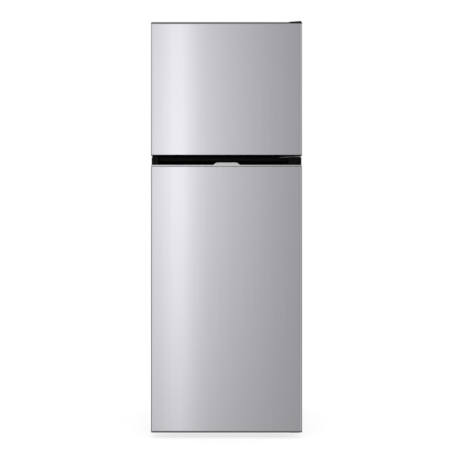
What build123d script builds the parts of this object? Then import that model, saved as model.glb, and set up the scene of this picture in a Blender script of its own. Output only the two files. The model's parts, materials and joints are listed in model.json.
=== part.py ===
"""Two-door refrigerator with the freezer on top, in millimetres.

+Z is up and the doors face -Y. The origin is on the floor, under the middle of the overall box.
Both doors hang on pins at the right and swing out to the right.
"""

import os

from build123d import *

# Overall sizes
CABINET_WIDTH = 550.0
CABINET_DEPTH = 500.0  # front flange to back panel
DOOR_THICKNESS = 55.0
SEAL_GAP = 12.0  # door back to cabinet front
REAR_STANDOFF = 38.0  # back panel to the end of the wall spacers
BASE_HEIGHT = 42.0  # floor to the underside of the base pan
DOOR_BOTTOM = 20.0  # floor to the lower edge of the fridge door
FRIDGE_DOOR_HEIGHT = 1000.0
DOOR_GAP = 6.0
FREEZER_DOOR_HEIGHT = 484.0
ROOF_STEP = 3.0  # cabinet roof above the top of the freezer door

# Sheets, walls and clearances
SHEET = 0.8
BASE_SHEET = 1.2
LINER = 2.0
SIDE_WALL = 48.0
BACK_WALL = 50.0
ROOF_WALL = 60.0
FLOOR_WALL = 45.0
MULLION = 54.0  # height of the wall between the two compartments
BAY_WALL = 45.0  # wall between the machine bay and the fridge compartment
RIM = 8.0  # width of a liner's front rim
LINER_CORNER = 20.0
LINER_SIDE_CHAMFER = 10.0
ROOF_EDGE_RADIUS = 4.0
SEAT = 0.3  # clearance where one piece rests by another
SHAFT_FIT = 0.08  # radial clearance of a shaft in its hole
SMALL_SIDES = 8  # sides of small pieces that sit in a hole and must not turn
GRIP_SIDES = 12  # sides of shafts, bores and pieces that are turned by hand
TURNED_SIDES = 16  # sides of wheels, dials and other turned pieces
TUBE_SIDES = 6
CORNER_CUT = 2 - 2**0.5  # leg of a corner cut off at 45 degrees, for each millimetre of its radius

# Doors
DOOR_EDGE_RADIUS = 9.0
SKIN_RETURN = 10.0  # lip of the door skin turned in at the back
TOP_CAP_FACE = 7.0
BOTTOM_CAP_FACE = 6.0
PULL_CAP_FACE = 2.5  # part of the freezer door's lower cap below the skin
PULL_POCKET_LENGTH = 300.0
PULL_POCKET_WIDTH = 26.0
PULL_POCKET_DEPTH = 9.0
DOOR_LINER_INSET = 6.0
DYKE_GAP = 10.0  # raised ring of the door liner to the compartment wall
DYKE_WIDTH = 26.0
DYKE_HEIGHT = 38.0
DYKE_RADIUS = 8.0
DYKE_CHAMFER = 7.0
GASKET_OFFSET = 10.0  # middle of the gasket from the edge of the compartment
GASKET_BASE = 15.0
GASKET_WAIST = 8.0
GASKET_HEAD = 13.0

# Grip along the top of the fridge door
GRIP_FACE = 35.0  # cap above the skin
GRIP_INSET = 2.5  # cap behind the outline of the skin
GRIP_LEFT_END = 27.0
GRIP_RIGHT_END = 50.0
GRIP_TROUGH = 14.0  # finger trough below the top of the trim
GRIP_WALL = 3.5
GRIP_DEPTH = 42.0  # front of the door to the back of the scoop
GRIP_FLOOR = 12.0
GRIP_LIP = 14.0  # upright part at the back of the scoop
GRIP_FLOOR_RADIUS = 5.0
GRIP_RISE_RADIUS = 12.0
GRIP_END_RADIUS = 4.0
TRIM_SHADOW_GAP = 1.3
TRIM_HEIGHT = 5.7
TRIM_THICKNESS = 2.3
TAB_RISE = 8.7
TAB_FOOT = 104.0
TAB_TOP = 68.0

# Hinges
HINGE_INSET = 20.0  # pin axis from the side of the cabinet
HINGE_SETBACK = 32.0  # pin axis from the front of the doors
PIN_RADIUS = 5.0
PIN_ENGAGEMENT = 14.0
BUSH_WALL = 3.0
BUSH_FLANGE = 2.5  # width of the collar round a bush
TOP_PLATE = 2.5
MIDDLE_PLATE = 2.5
BOTTOM_PLATE = 3.0
HINGE_ARM_RADIUS = 13.0
TOP_BRACKET_LEFT = 20.0  # bracket left of the pin axis
TOP_BRACKET_REACH = 70.0  # bracket behind the cabinet front
MIDDLE_FLANGE_LENGTH = 74.0
MIDDLE_FLANGE_HEIGHT = 14.0
BOTTOM_BRACKET_LEFT = 32.0
BOTTOM_BRACKET_REACH = 48.0
HINGE_COVER_RISE = 9.0  # back of the cover above the roof
HINGE_COVER_WALL = 1.5
HINGE_COVER_ROOM = 5.0
HINGE_COVER_SLOPE = 3.0
SCREW_RADIUS = 2.2
SCREW_HEAD_RADIUS = 4.2
SCREW_HEAD = 2.0
SCREW_LENGTH = 12.0
SCREW_FIT = 0.05

# Shelves, bins and drawer
GLASS = 4.0
RIB_REACH = 8.0
RIB_HEIGHT = 6.0
SHELF_SIDE_GAP = 3.0
SHELF_BACK_GAP = 1.0
TRIM_BAR_DEPTH = 14.0
TRIM_BAR_HEIGHT = 15.0
TRIM_BAR_DROP = 6.0  # trim below the glass
TRIM_BAR_CHAMFER = 3.0
GLASS_BITE = 8.0  # glass inside its trim
GROOVE_GAP = 0.1
FRIDGE_SHELF_COUNT = 3
FRIDGE_BIN_DEPTH = 94.0
FREEZER_BIN_DEPTH = 62.0
BIN_TO_SHELF = 8.0
BIN_WALL = 2.0
BIN_CORNER = 22.0
BIN_HEIGHT = 74.0
BOTTLE_BIN_HEIGHT = 110.0
DRAWER_WALL = 2.2
DRAWER_FLOOR_GAP = 6.0
DRAWER_TOP_GAP = 10.0
DRAWER_CORNER = 18.0
DRAWER_LIP = 9.0
DRAWER_BACK_GAP = 9.0
DRAWER_SIDE_GAP = 10.0

# Lamp and control unit under the fridge compartment's ceiling
UNIT_WIDTH = 190.0
UNIT_LENGTH = 170.0
UNIT_HEIGHT = 46.0
KNOB_ROOM = 4.0  # knob to the door's raised ring
UNIT_RADIUS = 8.0
LENS_WIDTH = 140.0
LENS_LENGTH = 110.0
LENS_DEPTH = 22.0
LENS_WALL = 2.0
KNOB_RADIUS = 17.0
KNOB_LENGTH = 13.0
KNOB_SHAFT_RADIUS = 4.0
KNOB_SHAFT_LENGTH = 14.0
KNOB_OFFSET = -38.0
PLUNGER_RADIUS = 5.0
PLUNGER_LENGTH = 32.0
PLUNGER_OFFSET = 62.0

# Feet and rollers
FOOT_PAD_RADIUS = 20.0
FOOT_PAD_CHAMFER = 3.0
FOOT_PAD_HEIGHT = 9.0
FOOT_HEX = 12.0  # radius of the hexagon that is turned by hand
FOOT_HEX_HEIGHT = 12.0
STUD_RADIUS = 5.0
STUD_REACH = 16.0  # stud above the underside of the base pan
BOSS_WALL = 4.0
FOOT_INSET_X = 62.0
FOOT_INSET_Y = 96.0
ROLLER_RADIUS = 17.0
ROLLER_WIDTH = 22.0
AXLE_RADIUS = 4.0
EAR_THICKNESS = 3.0
EAR_WIDTH = 26.0
ROLLER_SIDE_GAP = 1.0
ROLLER_INSET_X = 60.0
ROLLER_INSET_Y = 40.0

# Cooling machinery
COMPRESSOR_RADIUS = 70.0
COMPRESSOR_HEIGHT = 150.0
COMPRESSOR_OFFSET = 60.0  # right of the middle
COMPRESSOR_SEAM = 6.0  # rim of the weld round the shell
DOME_CUT = 20.0  # leg of the cut round the top of the shell
DOME_SOFTENING = 7.0  # leg of the cuts on both edges of that cut
TERMINAL_WIDTH = 60.0
TERMINAL_HEIGHT = 39.0
RELAY_DEPTH = 32.0
RELAY_INSET = 1.5  # relay cover inside the outline of the terminal pad
BAY_SIDE_ROOM = 15.0  # bay in front of and behind the compressor
BAY_HEADROOM = 40.0
MOUNT_HEIGHT = 14.0
MOUNT_RADIUS = 10.0
MOUNT_WAIST = 7.0
MOUNT_SPREAD = 62.0
FOOT_PLATE = 3.0
PIPE_RADIUS = 3.0
STUB_LENGTH = 12.0
EVAPORATOR = 1.5
EVAPORATOR_MARGIN = 40.0
TRAY_HEIGHT = 26.0
TRAY_WALL = 2.0
CONDENSER_RUNS = 11
CONDENSER_TUBE_RADIUS = 2.6
CONDENSER_STANDOFF = 24.0
CONDENSER_HALF_WIDTH = 196.0
CONDENSER_TOP_MARGIN = 110.0
CONDENSER_BOTTOM_MARGIN = 70.0
RISER_OFFSET = 34.0  # rising tube outside the bends
WIRE_RADIUS = 0.9
WIRE_PITCH = 20.0
SPACER_WIDTH = 12.0
SPACER_HEIGHT = 18.0
DRIER_RADIUS = 9.0
DRIER_END = 5.0  # radius of the drawn-in ends
DRIER_TAPER = 8.0
DRIER_LENGTH = 90.0

# Planes and levels that follow from the sizes above
OVERALL_DEPTH = DOOR_THICKNESS + SEAL_GAP + CABINET_DEPTH + REAR_STANDOFF
HALF_WIDTH = CABINET_WIDTH / 2
HALF_CAVITY = HALF_WIDTH - SIDE_WALL
Y_FRONT = -OVERALL_DEPTH / 2
Y_DOOR_BACK = Y_FRONT + DOOR_THICKNESS
Y_LINER_FACE = Y_DOOR_BACK + LINER
Y_FLANGE = Y_DOOR_BACK + SEAL_GAP
Y_BACK = Y_FLANGE + CABINET_DEPTH
Y_CAVITY_BACK = Y_BACK - BACK_WALL
BASE_TOP = BASE_HEIGHT + BASE_SHEET
FRIDGE_DOOR_TOP = DOOR_BOTTOM + FRIDGE_DOOR_HEIGHT
FREEZER_DOOR_BOTTOM = FRIDGE_DOOR_TOP + DOOR_GAP
FREEZER_DOOR_TOP = FREEZER_DOOR_BOTTOM + FREEZER_DOOR_HEIGHT
ROOF = FREEZER_DOOR_TOP + ROOF_STEP
SPLIT = (FRIDGE_DOOR_TOP + FREEZER_DOOR_BOTTOM) / 2
FREEZER_FLOOR = SPLIT + MULLION / 2
FREEZER_CEILING = ROOF - ROOF_WALL
FRIDGE_FLOOR = BASE_HEIGHT + FLOOR_WALL
FRIDGE_CEILING = SPLIT - MULLION / 2
PIN_X = HALF_WIDTH - HINGE_INSET
PIN_Y = Y_FRONT + HINGE_SETBACK
BUSH_RADIUS = PIN_RADIUS + SHAFT_FIT + BUSH_WALL
BUSH_COLLAR = (DOOR_GAP - MIDDLE_PLATE) / 2 - SEAT - SCREW_FIT
CAP_PLUG = PIN_ENGAGEMENT + SEAT  # depth that a cap reaches into the skin
LOWER_PLATE_TOP = DOOR_BOTTOM - BUSH_COLLAR - 2 * SEAT
MACHINE_DEPTH = 2 * (COMPRESSOR_RADIUS + BAY_SIDE_ROOM)
MACHINE_HEIGHT = MOUNT_HEIGHT + COMPRESSOR_HEIGHT + BAY_HEADROOM
Y_BAY = Y_BACK - MACHINE_DEPTH
BAY_TOP = BASE_TOP + MACHINE_HEIGHT
Y_HUMP = Y_BAY - BAY_WALL
HUMP_TOP = BAY_TOP + BAY_WALL
FRIDGE_SKIN_TOP = FRIDGE_DOOR_TOP - GRIP_FACE
FRIDGE_SKIN_BOTTOM = DOOR_BOTTOM + BOTTOM_CAP_FACE
FREEZER_SKIN_TOP = FREEZER_DOOR_TOP - TOP_CAP_FACE
FREEZER_SKIN_BOTTOM = FREEZER_DOOR_BOTTOM + PULL_CAP_FACE
TRIM_BOTTOM = FRIDGE_SKIN_TOP + TRIM_SHADOW_GAP
TRIM_TOP = TRIM_BOTTOM + TRIM_HEIGHT
DYKE_HALF = HALF_CAVITY - DYKE_GAP
BIN_HALF = DYKE_HALF - DYKE_WIDTH - SEAT
DYKE_FACE = Y_LINER_FACE + DYKE_HEIGHT
SHELF_FRONT = Y_LINER_FACE + FRIDGE_BIN_DEPTH + BIN_TO_SHELF
FREEZER_SHELF_FRONT = Y_LINER_FACE + FREEZER_BIN_DEPTH + BIN_TO_SHELF
SHELF_BACK = Y_CAVITY_BACK - LINER_CORNER - SHELF_BACK_GAP
SHELF_HALF = HALF_CAVITY - SHELF_SIDE_GAP
CRISPER_COVER = HUMP_TOP + LINER_SIDE_CHAMFER + TRIM_BAR_DROP
UNIT_FRONT = DYKE_FACE + KNOB_LENGTH + KNOB_ROOM
UNIT_BOTTOM = FRIDGE_CEILING - UNIT_HEIGHT
SHELF_STEP = (UNIT_BOTTOM - CRISPER_COVER) / (FRIDGE_SHELF_COUNT + 1)
FREEZER_SHELF = (FREEZER_FLOOR + FREEZER_CEILING) / 2
Y_CONDENSER = Y_BACK + CONDENSER_STANDOFF
COMPRESSOR_Y = Y_BAY + MACHINE_DEPTH / 2
COMPRESSOR_BASE = BASE_TOP + MOUNT_HEIGHT

os.makedirs("parts", exist_ok=True)


def save(builder, name):
    """Labels a finished piece and writes it to its own STEP file."""
    builder.part.label = name
    export_step(builder.part, f"parts/{name}.step")


def front_plane(y):
    """Upright plane at that depth, with X to the right and Z up. A negative extrusion goes back."""
    return Plane.XZ.offset(-y)


def block(x, y, z, mode=Mode.ADD):
    """Adds or cuts a box between two limits along each axis."""
    with Locations(((x[0] + x[1]) / 2, (y[0] + y[1]) / 2, (z[0] + z[1]) / 2)):
        Box(x[1] - x[0], y[1] - y[0], z[1] - z[0], mode=mode)


def cut_rectangle(width, height, radius, mode=Mode.ADD):
    """Adds or cuts a rectangle in a sketch, each corner cut off at 45 degrees along a round of that radius."""
    x, y = width / 2, height / 2
    leg = CORNER_CUT * radius
    Polygon(
        (x - leg, y),
        (leg - x, y),
        (-x, y - leg),
        (-x, leg - y),
        (leg - x, -y),
        (x - leg, -y),
        (x, leg - y),
        (x, y - leg),
        mode=mode,
    )


def bore(radius, mode=Mode.ADD):
    """Adds or cuts a hole's outline in a sketch, with flats that touch a round of that radius."""
    RegularPolygon(radius, GRIP_SIDES, major_radius=False, mode=mode)


def door_plan(height, inset=0.0):
    """A door seen from above, taken in all round: square at the back, with round front corners."""
    with BuildSketch(Plane.XY.offset(height)) as plan:
        with Locations((0, Y_FRONT + DOOR_THICKNESS / 2)):
            Rectangle(CABINET_WIDTH - 2 * inset, DOOR_THICKNESS - 2 * inset)
        fillet(plan.vertices().group_by(Axis.Y)[0], DOOR_EDGE_RADIUS - inset)
    return plan.sketch


def compartment_profile(x, floor, ceiling, grow, hump=None):
    """A compartment from the side, grown by a wall. hump is (y, z) of the step over the machine bay."""
    back = Y_CAVITY_BACK + grow
    low, high = floor - grow, ceiling + grow
    corners = [(Y_FLANGE, low), (back, low), (back, high), (Y_FLANGE, high)]
    if hump:
        step_y, step_z = hump[0] + grow, hump[1] - grow
        corners[1:2] = [(step_y, low), (step_y, step_z), (back, step_z)]
    with BuildSketch(Plane.YZ.offset(x)) as profile:
        with BuildLine():
            Polyline(*corners, close=True)
        make_face()
        # In this sketch X runs to the back and Y runs up
        inner = [v for v in profile.vertices() if v.X > Y_FLANGE + SHEET]
        if hump:
            step = [v for v in inner if abs(v.X - step_y) < SHEET and abs(v.Y - step_z) < SHEET]
            inner = [v for v in inner if v not in step]
        chamfer(inner, CORNER_CUT * (LINER_CORNER + grow))
        if hump:
            chamfer(step, CORNER_CUT * (LINER_CORNER - grow))
    return profile.sketch


def compartment(floor, ceiling, grow=0.0, hump=None):
    """Solid of a compartment's hollow, grown by a wall, with its side edges cut off at 45 degrees."""
    half = HALF_CAVITY + grow
    with BuildPart() as hollow:
        extrude(compartment_profile(-half, floor, ceiling, grow, hump), amount=2 * half)
        side_edges = hollow.faces().filter_by(Axis.X).edges()
        chamfer(
            [e for e in side_edges if e.center().Y > Y_FLANGE + SHEET],
            LINER_SIDE_CHAMFER + CORNER_CUT * grow,
        )
    return hollow.part


def rim(floor, ceiling):
    """Solid plate that fills a liner's front rim, before the hollow is cut out of it."""
    with BuildPart() as plate:
        with BuildSketch(front_plane(Y_FLANGE)):
            with Locations((0, (floor + ceiling) / 2)):
                Rectangle(2 * (HALF_CAVITY + RIM), ceiling - floor + 2 * RIM)
        extrude(amount=-LINER)
    return plate.part


FRIDGE_HUMP = (Y_HUMP, HUMP_TOP)
FREEZER_HOLLOW = compartment(FREEZER_FLOOR, FREEZER_CEILING)
FREEZER_ENVELOPE = compartment(FREEZER_FLOOR, FREEZER_CEILING, LINER)
FRIDGE_HOLLOW = compartment(FRIDGE_FLOOR, FRIDGE_CEILING, 0.0, FRIDGE_HUMP)
FRIDGE_ENVELOPE = compartment(FRIDGE_FLOOR, FRIDGE_CEILING, LINER, FRIDGE_HUMP)
FREEZER_RIM = rim(FREEZER_FLOOR, FREEZER_CEILING)
FRIDGE_RIM = rim(FRIDGE_FLOOR, FRIDGE_CEILING)


def cabinet_front(inset, floor):
    """Outline of the cabinet from the front, taken in by inset, with rounded roof corners."""
    with BuildSketch(front_plane(Y_FLANGE)) as outline:
        with Locations((0, (floor + ROOF - inset) / 2)):
            Rectangle(CABINET_WIDTH - 2 * inset, ROOF - inset - floor)
        fillet(outline.vertices().group_by(Axis.Y)[-1], ROOF_EDGE_RADIUS - inset)
    return outline.sketch


def screw(seat, grow=0.0):
    """Screw with its head flush with the seat plane and its shank along the plane's normal."""
    with BuildPart() as fastener:
        for radius, length in ((SCREW_HEAD_RADIUS, SCREW_HEAD), (SCREW_RADIUS, SCREW_LENGTH)):
            with BuildSketch():
                RegularPolygon(radius + grow, SMALL_SIDES)
            extrude(amount=length + grow)
    return seat.location * fastener.part


TOP_SCREW_X = (PIN_X - TOP_BRACKET_LEFT / 2, PIN_X + HINGE_ARM_RADIUS / 2)
MIDDLE_FLANGE_LEFT = PIN_X + HINGE_ARM_RADIUS - MIDDLE_FLANGE_LENGTH
MIDDLE_SCREW_X = (PIN_X + HINGE_ARM_RADIUS / 2, MIDDLE_FLANGE_LEFT + 2 * SCREW_HEAD_RADIUS)
BOTTOM_SCREW_X = (PIN_X - BOTTOM_BRACKET_LEFT / 2, PIN_X + HINGE_ARM_RADIUS / 2)
SCREW_SEATS = (
    [Plane((x, Y_FLANGE + 0.6 * TOP_BRACKET_REACH, ROOF + TOP_PLATE), z_dir=(0, 0, -1)) for x in TOP_SCREW_X]
    + [Plane((x, Y_FLANGE - BOTTOM_PLATE, SPLIT), z_dir=(0, 1, 0)) for x in MIDDLE_SCREW_X]
    + [
        Plane((x, Y_FLANGE + 0.6 * BOTTOM_BRACKET_REACH, BASE_HEIGHT - BOTTOM_PLATE), z_dir=(0, 0, 1))
        for x in BOTTOM_SCREW_X
    ]
)
SCREW_ROOM = [screw(seat, SCREW_FIT) for seat in SCREW_SEATS]

# Cabinet: outer sheet, foam, liners and base

with BuildPart() as outer_shell:
    # Both sides and the roof are one bent sheet, with a flange turned in at the front
    extrude(cabinet_front(0, BASE_HEIGHT), amount=-CABINET_DEPTH)
    extrude(cabinet_front(SHEET, BASE_HEIGHT), amount=-CABINET_DEPTH, mode=Mode.SUBTRACT)
    extrude(cabinet_front(0, BASE_HEIGHT), amount=-SHEET)
    block(
        (-HALF_CAVITY - RIM, HALF_CAVITY + RIM),
        (Y_FLANGE, Y_FLANGE + SHEET),
        (BASE_HEIGHT, FREEZER_CEILING + RIM),
        Mode.SUBTRACT,
    )
    add(SCREW_ROOM, mode=Mode.SUBTRACT)
save(outer_shell, "outer_shell")

for liner_name, envelope, hollow, liner_rim, levels, rib_front in (
    ("freezer_liner", FREEZER_ENVELOPE, FREEZER_HOLLOW, FREEZER_RIM, [FREEZER_SHELF], FREEZER_SHELF_FRONT),
    (
        "fridge_liner",
        FRIDGE_ENVELOPE,
        FRIDGE_HOLLOW,
        FRIDGE_RIM,
        [CRISPER_COVER + SHELF_STEP * i for i in range(FRIDGE_SHELF_COUNT + 1)],
        SHELF_FRONT,
    ),
):
    with BuildPart() as liner:
        add(envelope)
        add(liner_rim)
        add(hollow, mode=Mode.SUBTRACT)
        # Moulded ribs that carry the shelves
        for level in levels:
            for side in (-1, 1):
                wall = side * (HALF_CAVITY + LINER / 2)
                lip = side * (HALF_CAVITY - RIB_REACH)
                block(
                    (min(wall, lip), max(wall, lip)),
                    (rib_front + TRIM_BAR_DEPTH + SEAT, SHELF_BACK - TRIM_BAR_DEPTH - SEAT),
                    (level - RIB_HEIGHT, level),
                )
    save(liner, liner_name)

with BuildPart() as centre_beam:
    # Steel strip that closes the front of the wall between the compartments
    block(
        (-HALF_CAVITY - RIM, HALF_CAVITY + RIM),
        (Y_FLANGE, Y_FLANGE + SHEET),
        (FRIDGE_CEILING + RIM, FREEZER_FLOOR - RIM),
    )
    add(SCREW_ROOM, mode=Mode.SUBTRACT)
save(centre_beam, "centre_beam")

with BuildPart() as evaporators:
    # Cooling plate wrapped round the floor, back and ceiling of the freezer liner
    start = -HALF_CAVITY + EVAPORATOR_MARGIN
    plate_width = 2 * (HALF_CAVITY - EVAPORATOR_MARGIN)
    extrude(
        compartment_profile(start, FREEZER_FLOOR, FREEZER_CEILING, LINER + EVAPORATOR),
        amount=plate_width,
    )
    extrude(
        compartment_profile(start, FREEZER_FLOOR, FREEZER_CEILING, LINER),
        amount=plate_width,
        mode=Mode.SUBTRACT,
    )
    split(bisect_by=Plane.XZ.offset(-Y_FLANGE - EVAPORATOR_MARGIN), keep=Keep.BOTTOM)
    # Flat cooling plate behind the fridge compartment's back wall
    block(
        (-HALF_CAVITY + EVAPORATOR_MARGIN, HALF_CAVITY - EVAPORATOR_MARGIN),
        (Y_CAVITY_BACK + LINER, Y_CAVITY_BACK + LINER + EVAPORATOR),
        (HUMP_TOP + 3 * EVAPORATOR_MARGIN, FRIDGE_CEILING - 2 * EVAPORATOR_MARGIN),
    )
save(evaporators, "evaporators")

FOOT_X = HALF_WIDTH - FOOT_INSET_X
FOOT_Y = Y_FLANGE + FOOT_INSET_Y
BOSS_RADIUS = STUD_RADIUS + SHAFT_FIT + BOSS_WALL
BOSS_TOP = BASE_HEIGHT + STUD_REACH + BOSS_WALL
ROLLER_X = HALF_WIDTH - ROLLER_INSET_X
ROLLER_Y = Y_BACK - ROLLER_INSET_Y
EAR_OFFSET = ROLLER_WIDTH / 2 + ROLLER_SIDE_GAP
EAR_BOTTOM = ROLLER_RADIUS - EAR_WIDTH / 2

with BuildPart() as base_pan:
    # Bent plate under the cabinet, with a front flange, foot bosses and roller ears
    pan_half = HALF_WIDTH - SHEET
    flange_half = HALF_CAVITY + RIM
    block((-pan_half, pan_half), (Y_FLANGE + SHEET, Y_BACK), (BASE_HEIGHT, BASE_TOP))
    block((-flange_half, flange_half), (Y_FLANGE, Y_FLANGE + SHEET), (BASE_HEIGHT, FRIDGE_FLOOR - RIM))
    with BuildSketch(Plane.XY.offset(BASE_HEIGHT)):
        with Locations((-FOOT_X, FOOT_Y), (FOOT_X, FOOT_Y)):
            RegularPolygon(BOSS_RADIUS, SMALL_SIDES, major_radius=False)
    extrude(amount=BOSS_TOP - BASE_HEIGHT)
    with BuildSketch(Plane.XY.offset(BASE_HEIGHT)):
        with Locations((-FOOT_X, FOOT_Y), (FOOT_X, FOOT_Y)):
            bore(STUD_RADIUS + SHAFT_FIT)
    extrude(amount=STUD_REACH + SEAT, mode=Mode.SUBTRACT)
    for side in (-1, 1):
        for flank in (-1, 1):
            inner = side * ROLLER_X + flank * EAR_OFFSET
            with BuildSketch(Plane.YZ.offset(inner)) as ear:
                with Locations((ROLLER_Y, (EAR_BOTTOM + BASE_TOP) / 2)):
                    Rectangle(EAR_WIDTH, BASE_TOP - EAR_BOTTOM)
                chamfer(ear.vertices().group_by(Axis.Y)[0], EAR_WIDTH / 3)
                with Locations((ROLLER_Y, ROLLER_RADIUS)):
                    bore(AXLE_RADIUS + SHAFT_FIT, Mode.SUBTRACT)
            extrude(amount=flank * EAR_THICKNESS)
    add(SCREW_ROOM, mode=Mode.SUBTRACT)
save(base_pan, "base_pan")

with BuildPart() as machine_bay_plate:
    # Bent sheet that lines the front and the top of the machine bay
    with BuildSketch(Plane.YZ.offset(-HALF_WIDTH + SHEET)):
        with BuildLine():
            Polyline(
                (Y_BAY - SHEET, BASE_TOP),
                (Y_BAY, BASE_TOP),
                (Y_BAY, BAY_TOP),
                (Y_BACK - SHEET, BAY_TOP),
                (Y_BACK - SHEET, BAY_TOP + SHEET),
                (Y_BAY - SHEET, BAY_TOP + SHEET),
                close=True,
            )
        make_face()
    extrude(amount=CABINET_WIDTH - 2 * SHEET)
save(machine_bay_plate, "machine_bay_plate")

with BuildPart() as back_panel:
    panel_half = HALF_WIDTH - SHEET
    panel_top = ROOF - SHEET - ROOF_EDGE_RADIUS
    block((-panel_half, panel_half), (Y_BACK - SHEET, Y_BACK), (BAY_TOP, panel_top))
save(back_panel, "back_panel")

with BuildPart() as cabinet_insulation:
    # Foam that fills the room between the outer sheet and the liners
    extrude(cabinet_front(SHEET, BASE_TOP), amount=-CABINET_DEPTH + SHEET)
    add(FREEZER_ENVELOPE, mode=Mode.SUBTRACT)
    add(FRIDGE_ENVELOPE, mode=Mode.SUBTRACT)
    add(FREEZER_RIM, mode=Mode.SUBTRACT)
    add(FRIDGE_RIM, mode=Mode.SUBTRACT)
    block((-HALF_WIDTH, HALF_WIDTH), (Y_FLANGE, Y_FLANGE + SHEET), (BASE_HEIGHT, ROOF), Mode.SUBTRACT)
    block((-HALF_WIDTH, HALF_WIDTH), (Y_BAY - SHEET, Y_BACK), (BASE_HEIGHT, BAY_TOP + SHEET), Mode.SUBTRACT)
    add(evaporators.part, mode=Mode.SUBTRACT)
    add(base_pan.part, mode=Mode.SUBTRACT)
    add(SCREW_ROOM, mode=Mode.SUBTRACT)
    with BuildSketch(Plane.XY.offset(BASE_HEIGHT)):
        with Locations((-FOOT_X, FOOT_Y), (FOOT_X, FOOT_Y)):
            bore(STUD_RADIUS + SHAFT_FIT)
    extrude(amount=STUD_REACH + SEAT, mode=Mode.SUBTRACT)
save(cabinet_insulation, "cabinet_insulation")

# Feet and rollers

for side, side_name in ((-1, "left"), (1, "right")):
    with BuildPart() as front_foot:
        # Pad with flats for the fingers, a hexagon for a spanner and a stud that goes up into the base pan
        with BuildSketch():
            with Locations((side * FOOT_X, FOOT_Y)):
                RegularPolygon(FOOT_PAD_RADIUS, GRIP_SIDES)
        extrude(amount=FOOT_PAD_HEIGHT)
        chamfer(front_foot.faces().sort_by(Axis.Z)[-1].edges(), FOOT_PAD_CHAMFER)
        with BuildSketch(Plane.XY.offset(FOOT_PAD_HEIGHT)):
            with Locations((side * FOOT_X, FOOT_Y)):
                RegularPolygon(FOOT_HEX, 6)
        extrude(amount=FOOT_HEX_HEIGHT)
        with BuildSketch(Plane.XY.offset(FOOT_PAD_HEIGHT)):
            with Locations((side * FOOT_X, FOOT_Y)):
                Circle(STUD_RADIUS)
        extrude(amount=BASE_HEIGHT + STUD_REACH - FOOT_PAD_HEIGHT)
    save(front_foot, f"front_foot_{side_name}")

    with BuildPart() as rear_roller:
        with BuildSketch(Plane.YZ.offset(side * ROLLER_X - ROLLER_WIDTH / 2)):
            with Locations((ROLLER_Y, ROLLER_RADIUS)):
                RegularPolygon(ROLLER_RADIUS, TURNED_SIDES)
                Circle(AXLE_RADIUS + SHAFT_FIT, mode=Mode.SUBTRACT)
        extrude(amount=ROLLER_WIDTH)
    save(rear_roller, f"rear_roller_{side_name}")

with BuildPart() as roller_axles:
    for side in (-1, 1):
        with BuildSketch(Plane.YZ.offset(side * ROLLER_X - EAR_OFFSET - EAR_THICKNESS)):
            with Locations((ROLLER_Y, ROLLER_RADIUS)):
                RegularPolygon(AXLE_RADIUS, GRIP_SIDES)
        extrude(amount=2 * (EAR_OFFSET + EAR_THICKNESS))
save(roller_axles, "roller_axles")


# Doors


def dyke(floor, ceiling, inset):
    """Raised ring on the back of a door, which reaches into the compartment, taken in by inset."""
    half = DYKE_HALF - inset
    height = ceiling - floor - 2 * (DYKE_GAP + inset)
    hole = 2 * (DYKE_WIDTH - 2 * inset)
    inner_radius = DYKE_RADIUS - LINER + inset
    with BuildPart() as ring:
        with BuildSketch(front_plane(Y_DOOR_BACK)):
            with Locations((0, (floor + ceiling) / 2)):
                cut_rectangle(2 * half, height, DYKE_RADIUS + LINER - inset)
                cut_rectangle(2 * half - hole, height - hole, inner_radius, Mode.SUBTRACT)
        extrude(amount=-(LINER + DYKE_HEIGHT - inset))
        chamfer(ring.faces().sort_by(Axis.Y)[-1].edges(), DYKE_CHAMFER - CORNER_CUT * inset)
    return ring.part


def door_skin(name, bottom, top):
    """Bent sheet: the front and both sides of a door, with lips turned in at the back."""
    with BuildPart() as skin:
        extrude(door_plan(bottom), amount=top - bottom)
        extrude(door_plan(bottom, SHEET), amount=top - bottom, mode=Mode.SUBTRACT)
        lip = HALF_WIDTH - SKIN_RETURN
        block((-lip, lip), (Y_DOOR_BACK - SHEET, Y_DOOR_BACK), (bottom, top), Mode.SUBTRACT)
    save(skin, name)


def door_foam(name, bottom, top, floor, ceiling):
    """Foam that fills a door between its skin, its caps and its liner."""
    with BuildPart() as foam:
        extrude(door_plan(bottom, SHEET), amount=top - bottom)
        lip = HALF_WIDTH - SKIN_RETURN
        block((-lip, lip), (Y_DOOR_BACK - SHEET, Y_DOOR_BACK), (bottom, top))
        add(dyke(floor, ceiling, LINER))
    save(foam, name)


def door_liner(name, bottom, top, floor, ceiling):
    """Thin moulded back of a door, with its raised ring."""
    half = HALF_WIDTH - DOOR_LINER_INSET
    with BuildPart() as liner:
        block((-half, half), (Y_DOOR_BACK, Y_LINER_FACE), (bottom + DOOR_LINER_INSET, top - DOOR_LINER_INSET))
        add(dyke(floor, ceiling, 0))
        add(dyke(floor, ceiling, LINER), mode=Mode.SUBTRACT)
    save(liner, name)


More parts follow.
